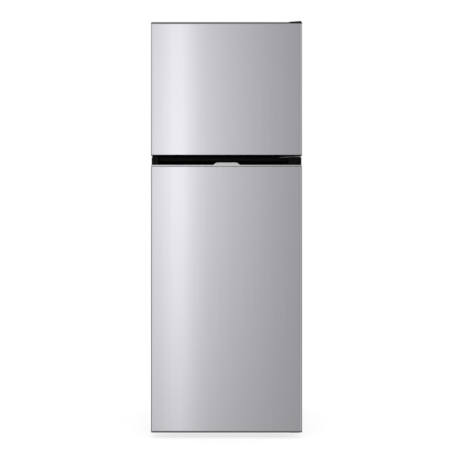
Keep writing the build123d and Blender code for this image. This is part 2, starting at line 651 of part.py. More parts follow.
def door_gasket(name, floor, ceiling):
    """Bellows seal: a wide base, a waist and a magnet head, carried round the compartment's edge."""
    half = HALF_CAVITY + GASKET_OFFSET
    low, high = floor - GASKET_OFFSET, ceiling + GASKET_OFFSET
    depth = SEAL_GAP - LINER - SEAT
    with BuildPart() as gasket:
        with BuildLine(front_plane(Y_LINER_FACE)):
            Polyline((0, low), (half, low), (half, high), (-half, high), (-half, low), (0, low))
        with BuildSketch(Plane((0, Y_LINER_FACE, low), x_dir=(0, 0, -1), z_dir=(1, 0, 0))):
            with BuildLine():
                Polyline(
                    (-GASKET_BASE / 2, 0),
                    (-GASKET_BASE / 2, 0.2 * depth),
                    (-GASKET_WAIST / 2, 0.35 * depth),
                    (-GASKET_WAIST / 2, 0.5 * depth),
                    (-GASKET_HEAD / 2, 0.65 * depth),
                    (-GASKET_HEAD / 2, depth),
                    (GASKET_HEAD / 2, depth),
                    (GASKET_HEAD / 2, 0.65 * depth),
                    (GASKET_WAIST / 2, 0.5 * depth),
                    (GASKET_WAIST / 2, 0.35 * depth),
                    (GASKET_BASE / 2, 0.2 * depth),
                    (GASKET_BASE / 2, 0),
                    close=True,
                )
            make_face()
        sweep(transition=Transition.RIGHT)
    save(gasket, name)


def door_bin(name, level, height, depth):
    """Open tray between the raised sides of a door liner, with round front corners."""
    with BuildPart() as tray:
        with BuildSketch(Plane.XY.offset(level)) as plan:
            with Locations((0, Y_LINER_FACE + SEAT + depth / 2)):
                Rectangle(2 * BIN_HALF, depth)
            fillet(plan.vertices().group_by(Axis.Y)[-1], BIN_CORNER)
        extrude(amount=height)
        offset(amount=-BIN_WALL, openings=tray.faces().sort_by(Axis.Z)[-1])
    save(tray, name)


def pin_bore(entry, depth):
    """Bores a seat for a hinge bush into the cap being built, upwards or downwards from its mouth."""
    with BuildSketch(Plane.XY.offset(entry)) as seat:
        with Locations((PIN_X, PIN_Y)):
            RegularPolygon(BUSH_RADIUS + SCREW_FIT, SMALL_SIDES)
    extrude(seat.sketch, amount=depth, mode=Mode.SUBTRACT)


def bush(entry, direction):
    """Adds a hinge bush with flats: its collar lies on the cap and its sleeve goes into it."""
    with BuildSketch(Plane.XY.offset(entry)) as sleeve:
        with Locations((PIN_X, PIN_Y)):
            RegularPolygon(BUSH_RADIUS, SMALL_SIDES)
            bore(PIN_RADIUS + SHAFT_FIT, Mode.SUBTRACT)
    extrude(sleeve.sketch, amount=direction * PIN_ENGAGEMENT)
    with BuildSketch(Plane.XY.offset(entry)) as collar:
        with Locations((PIN_X, PIN_Y)):
            RegularPolygon(BUSH_RADIUS + BUSH_FLANGE, SMALL_SIDES)
            bore(PIN_RADIUS + SHAFT_FIT, Mode.SUBTRACT)
    extrude(collar.sketch, amount=-direction * BUSH_COLLAR)


# Freezer door

BORE_DEPTH = PIN_ENGAGEMENT + SEAT
door_skin("freezer_door_skin", FREEZER_SKIN_BOTTOM, FREEZER_SKIN_TOP)
door_foam(
    "freezer_door_foam",
    FREEZER_SKIN_BOTTOM + CAP_PLUG,
    FREEZER_SKIN_TOP - CAP_PLUG,
    FREEZER_FLOOR,
    FREEZER_CEILING,
)
door_liner("freezer_door_liner", FREEZER_DOOR_BOTTOM, FREEZER_DOOR_TOP, FREEZER_FLOOR, FREEZER_CEILING)
door_gasket("freezer_door_gasket", FREEZER_FLOOR, FREEZER_CEILING)

with BuildPart() as freezer_top_cap:
    extrude(door_plan(FREEZER_SKIN_TOP), amount=TOP_CAP_FACE)
    extrude(door_plan(FREEZER_SKIN_TOP, SHEET), amount=-CAP_PLUG)
    pin_bore(FREEZER_DOOR_TOP, -BORE_DEPTH)
save(freezer_top_cap, "freezer_top_cap")

with BuildPart() as freezer_pull_cap:
    # Lower cap with a pocket for the fingers along its underside
    extrude(door_plan(FREEZER_DOOR_BOTTOM), amount=PULL_CAP_FACE)
    extrude(door_plan(FREEZER_SKIN_BOTTOM, SHEET), amount=CAP_PLUG)
    pin_bore(FREEZER_DOOR_BOTTOM, BORE_DEPTH)
    with BuildSketch(Plane.XY.offset(FREEZER_DOOR_BOTTOM)):
        with Locations((0, Y_FRONT + GRIP_INSET + GRIP_WALL + PULL_POCKET_WIDTH / 2)):
            cut_rectangle(PULL_POCKET_LENGTH, PULL_POCKET_WIDTH, PULL_POCKET_WIDTH / 3)
    extrude(amount=PULL_POCKET_DEPTH, mode=Mode.SUBTRACT)
save(freezer_pull_cap, "freezer_pull_cap")

with BuildPart() as freezer_door_bushes:
    bush(FREEZER_DOOR_TOP, -1)
    bush(FREEZER_DOOR_BOTTOM, 1)
save(freezer_door_bushes, "freezer_door_bushes")

BIN_START = DYKE_GAP + DYKE_WIDTH + DYKE_RADIUS
FREEZER_BIN_SPAN = FREEZER_CEILING - FREEZER_FLOOR - 2 * BIN_START
door_bin("freezer_bin_lower", FREEZER_FLOOR + BIN_START, BIN_HEIGHT, FREEZER_BIN_DEPTH)
door_bin("freezer_bin_upper", FREEZER_FLOOR + BIN_START + FREEZER_BIN_SPAN / 2, BIN_HEIGHT, FREEZER_BIN_DEPTH)

# Fridge door

door_skin("fridge_door_skin", FRIDGE_SKIN_BOTTOM, FRIDGE_SKIN_TOP)
door_foam(
    "fridge_door_foam",
    FRIDGE_SKIN_BOTTOM + CAP_PLUG,
    FRIDGE_SKIN_TOP - CAP_PLUG,
    FRIDGE_FLOOR,
    FRIDGE_CEILING,
)
door_liner("fridge_door_liner", DOOR_BOTTOM, FRIDGE_DOOR_TOP, FRIDGE_FLOOR, FRIDGE_CEILING)
door_gasket("fridge_door_gasket", FRIDGE_FLOOR, FRIDGE_CEILING)

GRIP_FRONT = Y_FRONT + GRIP_INSET + GRIP_WALL
GRIP_LENGTH = CABINET_WIDTH - GRIP_LEFT_END - GRIP_RIGHT_END

with BuildPart() as scoop:
    # Hollow for the fingers: an open front, a trough behind the trim and a back that leans away
    with BuildSketch(Plane.YZ.offset(-HALF_WIDTH + GRIP_LEFT_END)) as section:
        with BuildLine():
            Polyline(
                (Y_FRONT - GRIP_WALL, TRIM_TOP),
                (GRIP_FRONT, TRIM_TOP),
                (GRIP_FRONT, TRIM_TOP - GRIP_TROUGH),
                (GRIP_FRONT + GRIP_FLOOR, TRIM_TOP - GRIP_TROUGH),
                (Y_FRONT + GRIP_DEPTH, FRIDGE_DOOR_TOP - GRIP_LIP),
                (Y_FRONT + GRIP_DEPTH, FRIDGE_DOOR_TOP + GRIP_WALL),
                (Y_FRONT - GRIP_WALL, FRIDGE_DOOR_TOP + GRIP_WALL),
                close=True,
            )
        make_face()
        # In this sketch X runs to the back and Y runs up
        fillet(section.vertices().group_by(Axis.Y)[0].sort_by(Axis.X)[0], GRIP_FLOOR_RADIUS)
        fillet(section.vertices().group_by(Axis.Y)[0].sort_by(Axis.X)[-1], GRIP_RISE_RADIUS)
        fillet(section.vertices().group_by(Axis.X)[-1].sort_by(Axis.Y)[0], GRIP_RISE_RADIUS)
    extrude(amount=GRIP_LENGTH)
    # The ends are rounded behind the trim, up to the open top
    end_edges = scoop.faces().filter_by(Axis.X).edges()
    end_edges = [e for e in end_edges if e.center().Y > GRIP_FRONT - SEAT]
    fillet([e for e in end_edges if e.center().Z < FRIDGE_DOOR_TOP + GRIP_WALL / 2], GRIP_END_RADIUS)

with BuildPart() as grip_cap:
    # Black cap along the top of the door, closed at both ends and hollowed between them
    extrude(door_plan(FRIDGE_SKIN_TOP, GRIP_INSET), amount=GRIP_FACE)
    block(
        (-HALF_WIDTH + GRIP_INSET, HALF_WIDTH - GRIP_INSET),
        (Y_DOOR_BACK - SKIN_RETURN, Y_DOOR_BACK),
        (FRIDGE_SKIN_TOP, FRIDGE_DOOR_TOP),
    )
    extrude(door_plan(FRIDGE_SKIN_TOP, SHEET), amount=-CAP_PLUG)
    add(scoop.part, mode=Mode.SUBTRACT)
    pin_bore(FRIDGE_DOOR_TOP, -BORE_DEPTH)
save(grip_cap, "grip_cap")

with BuildPart() as grip_trim:
    # Bright strip round the front of the cap
    extrude(door_plan(TRIM_BOTTOM), amount=TRIM_HEIGHT)
    extrude(door_plan(TRIM_BOTTOM, TRIM_THICKNESS), amount=TRIM_HEIGHT, mode=Mode.SUBTRACT)
    block(
        (-HALF_WIDTH, HALF_WIDTH),
        (Y_DOOR_BACK - SKIN_RETURN, Y_DOOR_BACK),
        (TRIM_BOTTOM, TRIM_TOP),
        Mode.SUBTRACT,
    )
    # Raised tab in the middle, with sides that curve out at the foot and in at the top
    with BuildSketch(front_plane(Y_FRONT)):
        with BuildLine():
            left = Bezier(
                (-TAB_FOOT / 2, TRIM_TOP),
                (-(TAB_FOOT + TAB_TOP) / 4, TRIM_TOP),
                (-(TAB_FOOT + TAB_TOP) / 4, TRIM_TOP + TAB_RISE),
                (-TAB_TOP / 2, TRIM_TOP + TAB_RISE),
            )
            top = Line(left @ 1, (TAB_TOP / 2, TRIM_TOP + TAB_RISE))
            right = Bezier(
                (TAB_TOP / 2, TRIM_TOP + TAB_RISE),
                ((TAB_FOOT + TAB_TOP) / 4, TRIM_TOP + TAB_RISE),
                ((TAB_FOOT + TAB_TOP) / 4, TRIM_TOP),
                (TAB_FOOT / 2, TRIM_TOP),
            )
            Line(right @ 1, left @ 0)
        make_face()
    extrude(amount=-(GRIP_INSET + GRIP_WALL))
save(grip_trim, "grip_trim")

with BuildPart() as fridge_bottom_cap:
    extrude(door_plan(DOOR_BOTTOM), amount=BOTTOM_CAP_FACE)
    extrude(door_plan(FRIDGE_SKIN_BOTTOM, SHEET), amount=CAP_PLUG)
    pin_bore(DOOR_BOTTOM, BORE_DEPTH)
save(fridge_bottom_cap, "fridge_bottom_cap")

with BuildPart() as fridge_door_bushes:
    bush(FRIDGE_DOOR_TOP, -1)
    bush(DOOR_BOTTOM, 1)
save(fridge_door_bushes, "fridge_door_bushes")

FRIDGE_BIN_SPAN = FRIDGE_CEILING - FRIDGE_FLOOR - 2 * BIN_START
door_bin("bottle_bin", FRIDGE_FLOOR + BIN_START, BOTTLE_BIN_HEIGHT, FRIDGE_BIN_DEPTH)
door_bin("middle_bin", FRIDGE_FLOOR + BIN_START + 0.42 * FRIDGE_BIN_SPAN, BIN_HEIGHT, FRIDGE_BIN_DEPTH)
door_bin("upper_bin", FRIDGE_FLOOR + BIN_START + 0.72 * FRIDGE_BIN_SPAN, BIN_HEIGHT, FRIDGE_BIN_DEPTH)

# Hinges

with BuildPart() as top_hinge_bracket:
    with BuildSketch(Plane.XY.offset(ROOF)):
        with Locations((PIN_X, PIN_Y)):
            RegularPolygon(HINGE_ARM_RADIUS, TURNED_SIDES)
        left, right = PIN_X - TOP_BRACKET_LEFT, PIN_X + HINGE_ARM_RADIUS
        with BuildLine():
            Polyline(
                (right, PIN_Y),
                (right, Y_FLANGE + TOP_BRACKET_REACH),
                (left, Y_FLANGE + TOP_BRACKET_REACH),
                (left, Y_FLANGE),
                (PIN_X - HINGE_ARM_RADIUS, PIN_Y),
                close=True,
            )
        make_face()
        with Locations((PIN_X, PIN_Y)):
            bore(PIN_RADIUS + SCREW_FIT, Mode.SUBTRACT)
    extrude(amount=TOP_PLATE)
    add(SCREW_ROOM, mode=Mode.SUBTRACT)
save(top_hinge_bracket, "top_hinge_bracket")


def hinge_cover_block(inset):
    """Solid of the top hinge cover, taken in by inset: low at the front, with its upper edge cut off."""
    left = PIN_X - TOP_BRACKET_LEFT - HINGE_COVER_ROOM - HINGE_COVER_SLOPE + inset
    right = PIN_X + HINGE_ARM_RADIUS + HINGE_COVER_ROOM - inset
    front = PIN_Y - HINGE_ARM_RADIUS - HINGE_COVER_ROOM + inset
    back = Y_FLANGE + TOP_BRACKET_REACH + HINGE_COVER_ROOM - inset
    with BuildPart() as body:
        with BuildSketch(Plane.YZ.offset(left)):
            with BuildLine():
                Polyline(
                    (front, ROOF),
                    (front, ROOF + TOP_PLATE + SEAT + HINGE_COVER_WALL - inset),
                    (back, ROOF + HINGE_COVER_RISE - inset),
                    (back, ROOF),
                    close=True,
                )
            make_face()
        extrude(amount=right - left)
        chamfer(body.faces().sort_by(Axis.Z)[-1].edges().sort_by(Axis.X)[0], HINGE_COVER_SLOPE - 0.6 * inset)
    return body.part


with BuildPart() as top_hinge_cover:
    add(hinge_cover_block(0))
    add(hinge_cover_block(HINGE_COVER_WALL), mode=Mode.SUBTRACT)
save(top_hinge_cover, "top_hinge_cover")

with BuildPart() as middle_hinge_bracket:
    # Arm in the gap between the doors, with an upright flange against the cabinet
    with BuildSketch(Plane.XY.offset(SPLIT - MIDDLE_PLATE / 2)):
        with Locations((PIN_X, PIN_Y)):
            RegularPolygon(HINGE_ARM_RADIUS, TURNED_SIDES)
        with BuildLine():
            Polyline(
                (PIN_X + HINGE_ARM_RADIUS, PIN_Y),
                (PIN_X + HINGE_ARM_RADIUS, Y_FLANGE),
                (MIDDLE_FLANGE_LEFT, Y_FLANGE),
                (MIDDLE_FLANGE_LEFT, Y_FLANGE - BOTTOM_PLATE),
                (PIN_X - HINGE_ARM_RADIUS, PIN_Y),
                close=True,
            )
        make_face()
        with Locations((PIN_X, PIN_Y)):
            bore(PIN_RADIUS + SCREW_FIT, Mode.SUBTRACT)
    extrude(amount=MIDDLE_PLATE)
    with BuildSketch(front_plane(Y_FLANGE - BOTTOM_PLATE)):
        with Locations((MIDDLE_FLANGE_LEFT + MIDDLE_FLANGE_LENGTH / 2, SPLIT)):
            cut_rectangle(MIDDLE_FLANGE_LENGTH, MIDDLE_FLANGE_HEIGHT, MIDDLE_PLATE)
    extrude(amount=-BOTTOM_PLATE)
    add(SCREW_ROOM, mode=Mode.SUBTRACT)
save(middle_hinge_bracket, "middle_hinge_bracket")

with BuildPart() as bottom_hinge_bracket:
    # Cranked strip: bolted under the base pan, dropped behind the door and run forward under it
    arm_front = PIN_Y - HINGE_ARM_RADIUS
    drop = Y_FLANGE + BOTTOM_PLATE
    with BuildSketch(Plane.YZ.offset(PIN_X - BOTTOM_BRACKET_LEFT)):
        with BuildLine():
            Polyline(
                (arm_front, LOWER_PLATE_TOP - BOTTOM_PLATE),
                (drop + BOTTOM_PLATE, LOWER_PLATE_TOP - BOTTOM_PLATE),
                (drop + BOTTOM_PLATE, BASE_HEIGHT - BOTTOM_PLATE),
                (Y_FLANGE + BOTTOM_BRACKET_REACH, BASE_HEIGHT - BOTTOM_PLATE),
                (Y_FLANGE + BOTTOM_BRACKET_REACH, BASE_HEIGHT),
                (drop, BASE_HEIGHT),
                (drop, LOWER_PLATE_TOP),
                (arm_front, LOWER_PLATE_TOP),
                close=True,
            )
        make_face()
    extrude(amount=BOTTOM_BRACKET_LEFT + HINGE_ARM_RADIUS)
    arm_corners = bottom_hinge_bracket.edges().filter_by(Axis.Z).group_by(Axis.Y)[0]
    chamfer(arm_corners, CORNER_CUT * HINGE_ARM_RADIUS)
    with BuildSketch(Plane.XY.offset(LOWER_PLATE_TOP)):
        with Locations((PIN_X, PIN_Y)):
            bore(PIN_RADIUS + SCREW_FIT)
    extrude(amount=-BOTTOM_PLATE, mode=Mode.SUBTRACT)
    add(SCREW_ROOM, mode=Mode.SUBTRACT)
save(bottom_hinge_bracket, "bottom_hinge_bracket")

with BuildPart() as hinge_pins:
    for low, high in (
        (FREEZER_DOOR_TOP - PIN_ENGAGEMENT, ROOF + TOP_PLATE),
        (FRIDGE_DOOR_TOP - PIN_ENGAGEMENT, FREEZER_DOOR_BOTTOM + PIN_ENGAGEMENT),
        (LOWER_PLATE_TOP - BOTTOM_PLATE, DOOR_BOTTOM + PIN_ENGAGEMENT),
    ):
        with Locations((PIN_X, PIN_Y, low)):
            Cylinder(PIN_RADIUS, high - low, align=(Align.CENTER, Align.CENTER, Align.MIN))
save(hinge_pins, "hinge_pins")

with BuildPart() as hinge_screws:
    add([screw(seat) for seat in SCREW_SEATS])
save(hinge_screws, "hinge_screws")

# Shelves and drawer


def shelf_glass(level, front):
    """Adds the glass plate of a shelf."""
    bite = TRIM_BAR_DEPTH - GLASS_BITE
    block((-SHELF_HALF, SHELF_HALF), (front + bite, SHELF_BACK - bite), (level, level + GLASS))


def shelf_trims(level, front):
    """Adds the two edge bars of a shelf, each with a groove that grips the glass."""
    middle = level - TRIM_BAR_DROP + TRIM_BAR_HEIGHT / 2
    for edge, turn in ((front, 1), (SHELF_BACK, -1)):
        with BuildSketch(Plane.YZ.offset(-SHELF_HALF)) as section:
            with Locations((edge + turn * TRIM_BAR_DEPTH / 2, middle)):
                Rectangle(TRIM_BAR_DEPTH, TRIM_BAR_HEIGHT)
            outer = section.vertices().group_by(Axis.X)[0 if turn > 0 else -1]
            chamfer(outer, TRIM_BAR_CHAMFER)
            groove = GLASS_BITE + GROOVE_GAP
            with Locations((edge + turn * (TRIM_BAR_DEPTH - groove / 2), level + GLASS / 2)):
                Rectangle(groove, GLASS + 2 * GROOVE_GAP, mode=Mode.SUBTRACT)
        extrude(section.sketch, amount=2 * SHELF_HALF)


FRIDGE_LEVELS = [CRISPER_COVER + SHELF_STEP * i for i in range(FRIDGE_SHELF_COUNT + 1)]

with BuildPart() as freezer_shelf_glass:
    shelf_glass(FREEZER_SHELF, FREEZER_SHELF_FRONT)
save(freezer_shelf_glass, "freezer_shelf_glass")

with BuildPart() as freezer_shelf_trims:
    shelf_trims(FREEZER_SHELF, FREEZER_SHELF_FRONT)
save(freezer_shelf_trims, "freezer_shelf_trims")

with BuildPart() as fridge_shelf_glass:
    for level in FRIDGE_LEVELS:
        shelf_glass(level, SHELF_FRONT)
save(fridge_shelf_glass, "fridge_shelf_glass")

with BuildPart() as fridge_shelf_trims:
    for level in FRIDGE_LEVELS:
        shelf_trims(level, SHELF_FRONT)
save(fridge_shelf_trims, "fridge_shelf_trims")

with BuildPart() as crisper_drawer:
    # Clear drawer on two runners, with a pull lip along the top of its front
    half = HALF_CAVITY - DRAWER_SIDE_GAP
    drawer_front = SHELF_FRONT + DRAWER_LIP
    drawer_back = Y_HUMP - DRAWER_BACK_GAP
    drawer_bottom = FRIDGE_FLOOR + DRAWER_FLOOR_GAP
    drawer_top = CRISPER_COVER - RIB_HEIGHT - DRAWER_TOP_GAP
    with BuildSketch(Plane.XY.offset(drawer_bottom)):
        with Locations((0, (drawer_front + drawer_back) / 2)):
            RectangleRounded(2 * half, drawer_back - drawer_front, DRAWER_CORNER)
    extrude(amount=drawer_top - drawer_bottom)
    offset(amount=-DRAWER_WALL, openings=crisper_drawer.faces().sort_by(Axis.Z)[-1])
    lip_half = half - DRAWER_CORNER
    with BuildSketch(Plane.YZ.offset(-lip_half)):
        with BuildLine():
            Polyline(
                (drawer_front + DRAWER_WALL / 2, drawer_top),
                (drawer_front - DRAWER_LIP, drawer_top),
                (drawer_front - DRAWER_LIP, drawer_top - 2 * DRAWER_LIP),
                (drawer_front - DRAWER_LIP + DRAWER_WALL, drawer_top - 2 * DRAWER_LIP),
                (drawer_front - DRAWER_LIP + DRAWER_WALL, drawer_top - DRAWER_WALL),
                (drawer_front + DRAWER_WALL / 2, drawer_top - DRAWER_WALL),
                close=True,
            )
        make_face()
    extrude(amount=2 * lip_half)
    for side in (-1, 1):
        runner = side * (half - 2 * DRAWER_CORNER)
        block(
            (runner - DRAWER_LIP / 2, runner + DRAWER_LIP / 2),
            (drawer_front + DRAWER_CORNER, drawer_back - DRAWER_CORNER),
            (FRIDGE_FLOOR + SEAT, drawer_bottom + DRAWER_WALL / 2),
        )
save(crisper_drawer, "crisper_drawer")

# Lamp and control unit

UNIT_MIDDLE = UNIT_FRONT + UNIT_LENGTH / 2
LAMP_ROOM_Y = UNIT_FRONT + UNIT_LENGTH - LENS_LENGTH / 2 - 2 * UNIT_RADIUS
CONTROL_HEIGHT = FRIDGE_CEILING - DYKE_GAP - DYKE_WIDTH / 2
PLUNGER_TIP = DYKE_FACE + SEAT

with BuildPart() as control_housing:
    with BuildSketch(Plane.XY.offset(UNIT_BOTTOM)):
        with Locations((0, UNIT_MIDDLE)):
            cut_rectangle(UNIT_WIDTH, UNIT_LENGTH, UNIT_RADIUS)
    extrude(amount=UNIT_HEIGHT)
    chamfer(control_housing.faces().sort_by(Axis.Z)[0].edges(), UNIT_RADIUS / 2)
    with BuildSketch(Plane.XY.offset(UNIT_BOTTOM)):
        with Locations((0, LAMP_ROOM_Y)):
            cut_rectangle(LENS_WIDTH, LENS_LENGTH, UNIT_RADIUS)
    extrude(amount=LENS_DEPTH, mode=Mode.SUBTRACT)
    with BuildSketch(front_plane(UNIT_FRONT)):
        with Locations((KNOB_OFFSET, CONTROL_HEIGHT)):
            bore(KNOB_SHAFT_RADIUS + SHAFT_FIT)
    extrude(amount=-(KNOB_SHAFT_LENGTH + SEAT), mode=Mode.SUBTRACT)
    with BuildSketch(front_plane(UNIT_FRONT)):
        with Locations((PLUNGER_OFFSET, CONTROL_HEIGHT)):
            bore(PLUNGER_RADIUS + SEAT)
    extrude(amount=-(PLUNGER_TIP + PLUNGER_LENGTH + SEAT - UNIT_FRONT), mode=Mode.SUBTRACT)
save(control_housing, "control_housing")

with BuildPart() as lamp_lens:
    with BuildSketch(Plane.XY.offset(UNIT_BOTTOM - LENS_WALL)):
        with Locations((0, LAMP_ROOM_Y)):
            cut_rectangle(LENS_WIDTH - SEAT, LENS_LENGTH - SEAT, UNIT_RADIUS)
    extrude(amount=LENS_DEPTH / 2)
    offset(amount=-LENS_WALL, openings=lamp_lens.faces().sort_by(Axis.Z)[-1])
save(lamp_lens, "lamp_lens")

with BuildPart() as lamp_board:
    board_top = UNIT_BOTTOM + LENS_DEPTH
    block(
        (-0.4 * LENS_WIDTH, 0.4 * LENS_WIDTH),
        (LAMP_ROOM_Y - LENS_LENGTH / 8, LAMP_ROOM_Y + LENS_LENGTH / 8),
        (board_top - LENS_WALL, board_top),
    )
    with BuildSketch(Plane.XY.offset(board_top - LENS_WALL)):
        with Locations((0, LAMP_ROOM_Y)):
            with GridLocations(0.2 * LENS_WIDTH, LENS_WALL, 4, 1):
                Rectangle(2 * GLASS, 2 * GLASS)
    extrude(amount=-LENS_WALL)
save(lamp_board, "lamp_board")

with BuildPart() as thermostat_knob:
    # Round knob with a grip bar across its face and a shaft behind it
    with BuildSketch(front_plane(UNIT_FRONT - SEAT)):
        with Locations((KNOB_OFFSET, CONTROL_HEIGHT)):
            RegularPolygon(KNOB_RADIUS, TURNED_SIDES)
    extrude(amount=KNOB_LENGTH / 2)
    with BuildSketch(front_plane(UNIT_FRONT - SEAT)):
        with Locations((KNOB_OFFSET, CONTROL_HEIGHT)):
            cut_rectangle(KNOB_RADIUS / 2, 2 * KNOB_RADIUS - GLASS, KNOB_RADIUS / 4)
    extrude(amount=KNOB_LENGTH)
    with BuildSketch(front_plane(UNIT_FRONT - SEAT)):
        with Locations((KNOB_OFFSET, CONTROL_HEIGHT)):
            Circle(KNOB_SHAFT_RADIUS)
    extrude(amount=-KNOB_SHAFT_LENGTH)
save(thermostat_knob, "thermostat_knob")

with BuildPart() as switch_plunger:
    with BuildSketch(front_plane(PLUNGER_TIP)):
        with Locations((PLUNGER_OFFSET, CONTROL_HEIGHT)):
            RegularPolygon(PLUNGER_RADIUS, GRIP_SIDES)
    extrude(amount=-PLUNGER_LENGTH)
save(switch_plunger, "switch_plunger")

# Cooling machinery

with BuildPart() as compressor:
    # Welded steel shell in two halves on a foot plate, with a rim along the weld and a domed top
    seam = COMPRESSOR_BASE + 0.5 * COMPRESSOR_HEIGHT
    rim_radius = COMPRESSOR_RADIUS + COMPRESSOR_SEAM
    with BuildSketch(Plane.XY.offset(COMPRESSOR_BASE)):
        RegularPolygon(COMPRESSOR_RADIUS, TURNED_SIDES)
    extrude(amount=COMPRESSOR_HEIGHT)
    chamfer(compressor.edges().group_by(Axis.Z)[-1], DOME_CUT)
    rings = compressor.edges().group_by(Axis.Z)
    chamfer(rings[-1] + rings[-3], DOME_SOFTENING)
    with BuildSketch(Plane.XY.offset(seam - COMPRESSOR_SEAM / 2)):
        RegularPolygon(rim_radius, TURNED_SIDES)
    extrude(amount=COMPRESSOR_SEAM)
    with BuildSketch(Plane.XY.offset(COMPRESSOR_BASE)):
        plate_half = (MOUNT_SPREAD + MOUNT_RADIUS, 0.6 * MOUNT_SPREAD + MOUNT_RADIUS)
        cut_rectangle(2 * plate_half[0], 2 * plate_half[1], MOUNT_RADIUS)
    extrude(amount=FOOT_PLATE)
    # Flat pad for the terminals and short stubs for the pipes
    pad_top = seam - COMPRESSOR_SEAM
    block(
        (-rim_radius, -0.8 * COMPRESSOR_RADIUS),
        (-TERMINAL_WIDTH / 2, TERMINAL_WIDTH / 2),
        (pad_top - TERMINAL_HEIGHT, pad_top),
    )
    with BuildSketch(Plane.YZ.offset(0.8 * COMPRESSOR_RADIUS)):
        with Locations((0, seam + 4 * COMPRESSOR_SEAM)):
            RegularPolygon(PIPE_RADIUS, TUBE_SIDES)
    extrude(amount=0.2 * COMPRESSOR_RADIUS + STUB_LENGTH)
    with BuildSketch(front_plane(0.8 * COMPRESSOR_RADIUS)):
        with Locations((0, seam - 4 * COMPRESSOR_SEAM)):
            RegularPolygon(PIPE_RADIUS, TUBE_SIDES)
    extrude(amount=-0.2 * COMPRESSOR_RADIUS - STUB_LENGTH)
COMPRESSOR_SPOT = Location((COMPRESSOR_OFFSET, COMPRESSOR_Y, 0))
compressor.part.locate(COMPRESSOR_SPOT)
save(compressor, "compressor")

with BuildPart() as compressor_mounts:
    # Rubber feet with a groove round the middle
    for band, radius in enumerate((MOUNT_RADIUS, MOUNT_WAIST, MOUNT_RADIUS)):
        with BuildSketch(Plane.XY.offset(BASE_TOP + band * MOUNT_HEIGHT / 3)):
            with Locations((COMPRESSOR_OFFSET, COMPRESSOR_Y)):
                with GridLocations(2 * MOUNT_SPREAD, 1.2 * MOUNT_SPREAD, 2, 2):
                    RegularPolygon(radius, SMALL_SIDES)
        extrude(amount=MOUNT_HEIGHT / 3)
save(compressor_mounts, "compressor_mounts")

SEAM_HEIGHT = COMPRESSOR_BASE + 0.5 * COMPRESSOR_HEIGHT
PAD_X = COMPRESSOR_OFFSET - COMPRESSOR_RADIUS - COMPRESSOR_SEAM

with BuildPart() as relay_cover:
    relay_half = TERMINAL_WIDTH / 2 - RELAY_INSET
    relay_top = SEAM_HEIGHT - COMPRESSOR_SEAM - RELAY_INSET
    block(
        (PAD_X - RELAY_DEPTH, PAD_X),
        (COMPRESSOR_Y - relay_half, COMPRESSOR_Y + relay_half),
        (relay_top - TERMINAL_HEIGHT + 2 * RELAY_INSET, relay_top),
    )
    fillet(relay_cover.faces().sort_by(Axis.X)[0].edges(), GLASS)
save(relay_cover, "relay_cover")

with BuildPart() as drain_tray:
    tray_bottom = COMPRESSOR_BASE + COMPRESSOR_HEIGHT
    with BuildSketch(Plane.XY.offset(tray_bottom)):
        with Locations((COMPRESSOR_OFFSET, COMPRESSOR_Y)):
            cut_rectangle(2 * COMPRESSOR_RADIUS, 1.7 * COMPRESSOR_RADIUS, MOUNT_RADIUS)
    extrude(amount=TRAY_HEIGHT)
    offset(amount=-TRAY_WALL, openings=drain_tray.faces().sort_by(Axis.Z)[-1])
save(drain_tray, "drain_tray")

RISER_X = -CONDENSER_HALF_WIDTH - RISER_OFFSET
CONDENSER_TOP = ROOF - CONDENSER_TOP_MARGIN
CONDENSER_BOTTOM = BAY_TOP + CONDENSER_BOTTOM_MARGIN
RUN_PITCH = (CONDENSER_TOP - CONDENSER_BOTTOM) / (CONDENSER_RUNS - 1)
RISER_START = BAY_TOP
DRIER_TOP = CONDENSER_BOTTOM - CONDENSER_BOTTOM_MARGIN / 2

with BuildPart() as condenser_tube:
    # One tube: up the left side, then to and fro down the back, with every bend cut off at 45 degrees
    points = [(RISER_X, RISER_START), (RISER_X, CONDENSER_TOP)]
    for run in range(CONDENSER_RUNS):
        height = CONDENSER_TOP - run * RUN_PITCH
        ends = (-CONDENSER_HALF_WIDTH, CONDENSER_HALF_WIDTH)
        first, last = ends if run % 2 == 0 else ends[::-1]
        if run > 0:
            points.append((first, height))
        points.append((last, height))
    points.append((points[-1][0], DRIER_TOP))
    corners = [Vector(x, Y_CONDENSER, z) for x, z in points]
    leg = CORNER_CUT * RISER_OFFSET / 2
    path = [corners[0]]
    for before, corner, after in zip(corners, corners[1:], corners[2:]):
        path.append(corner + (before - corner).normalized() * leg)
        path.append(corner + (after - corner).normalized() * leg)
    path.append(corners[-1])
    with BuildLine():
        Polyline(*path)
    with BuildSketch(Plane((RISER_X, Y_CONDENSER, RISER_START), z_dir=(0, 0, 1))):
        RegularPolygon(CONDENSER_TUBE_RADIUS, TUBE_SIDES)
    sweep(transition=Transition.RIGHT)
save(condenser_tube, "condenser_tube")

with BuildPart() as condenser_wires:
    wire_count = 2 * int((CONDENSER_HALF_WIDTH - RISER_OFFSET / 2 + WIRE_PITCH / 2) / WIRE_PITCH)
    wire_plane = Y_CONDENSER + CONDENSER_TUBE_RADIUS + WIRE_RADIUS
    with BuildSketch(Plane.XY.offset(CONDENSER_BOTTOM - WIRE_PITCH)):
        with Locations((0, wire_plane)):
            with GridLocations(WIRE_PITCH, WIRE_PITCH, wire_count, 1):
                RegularPolygon(WIRE_RADIUS, TUBE_SIDES)
    extrude(amount=CONDENSER_TOP - CONDENSER_BOTTOM + 2 * WIRE_PITCH)
save(condenser_wires, "condenser_wires")

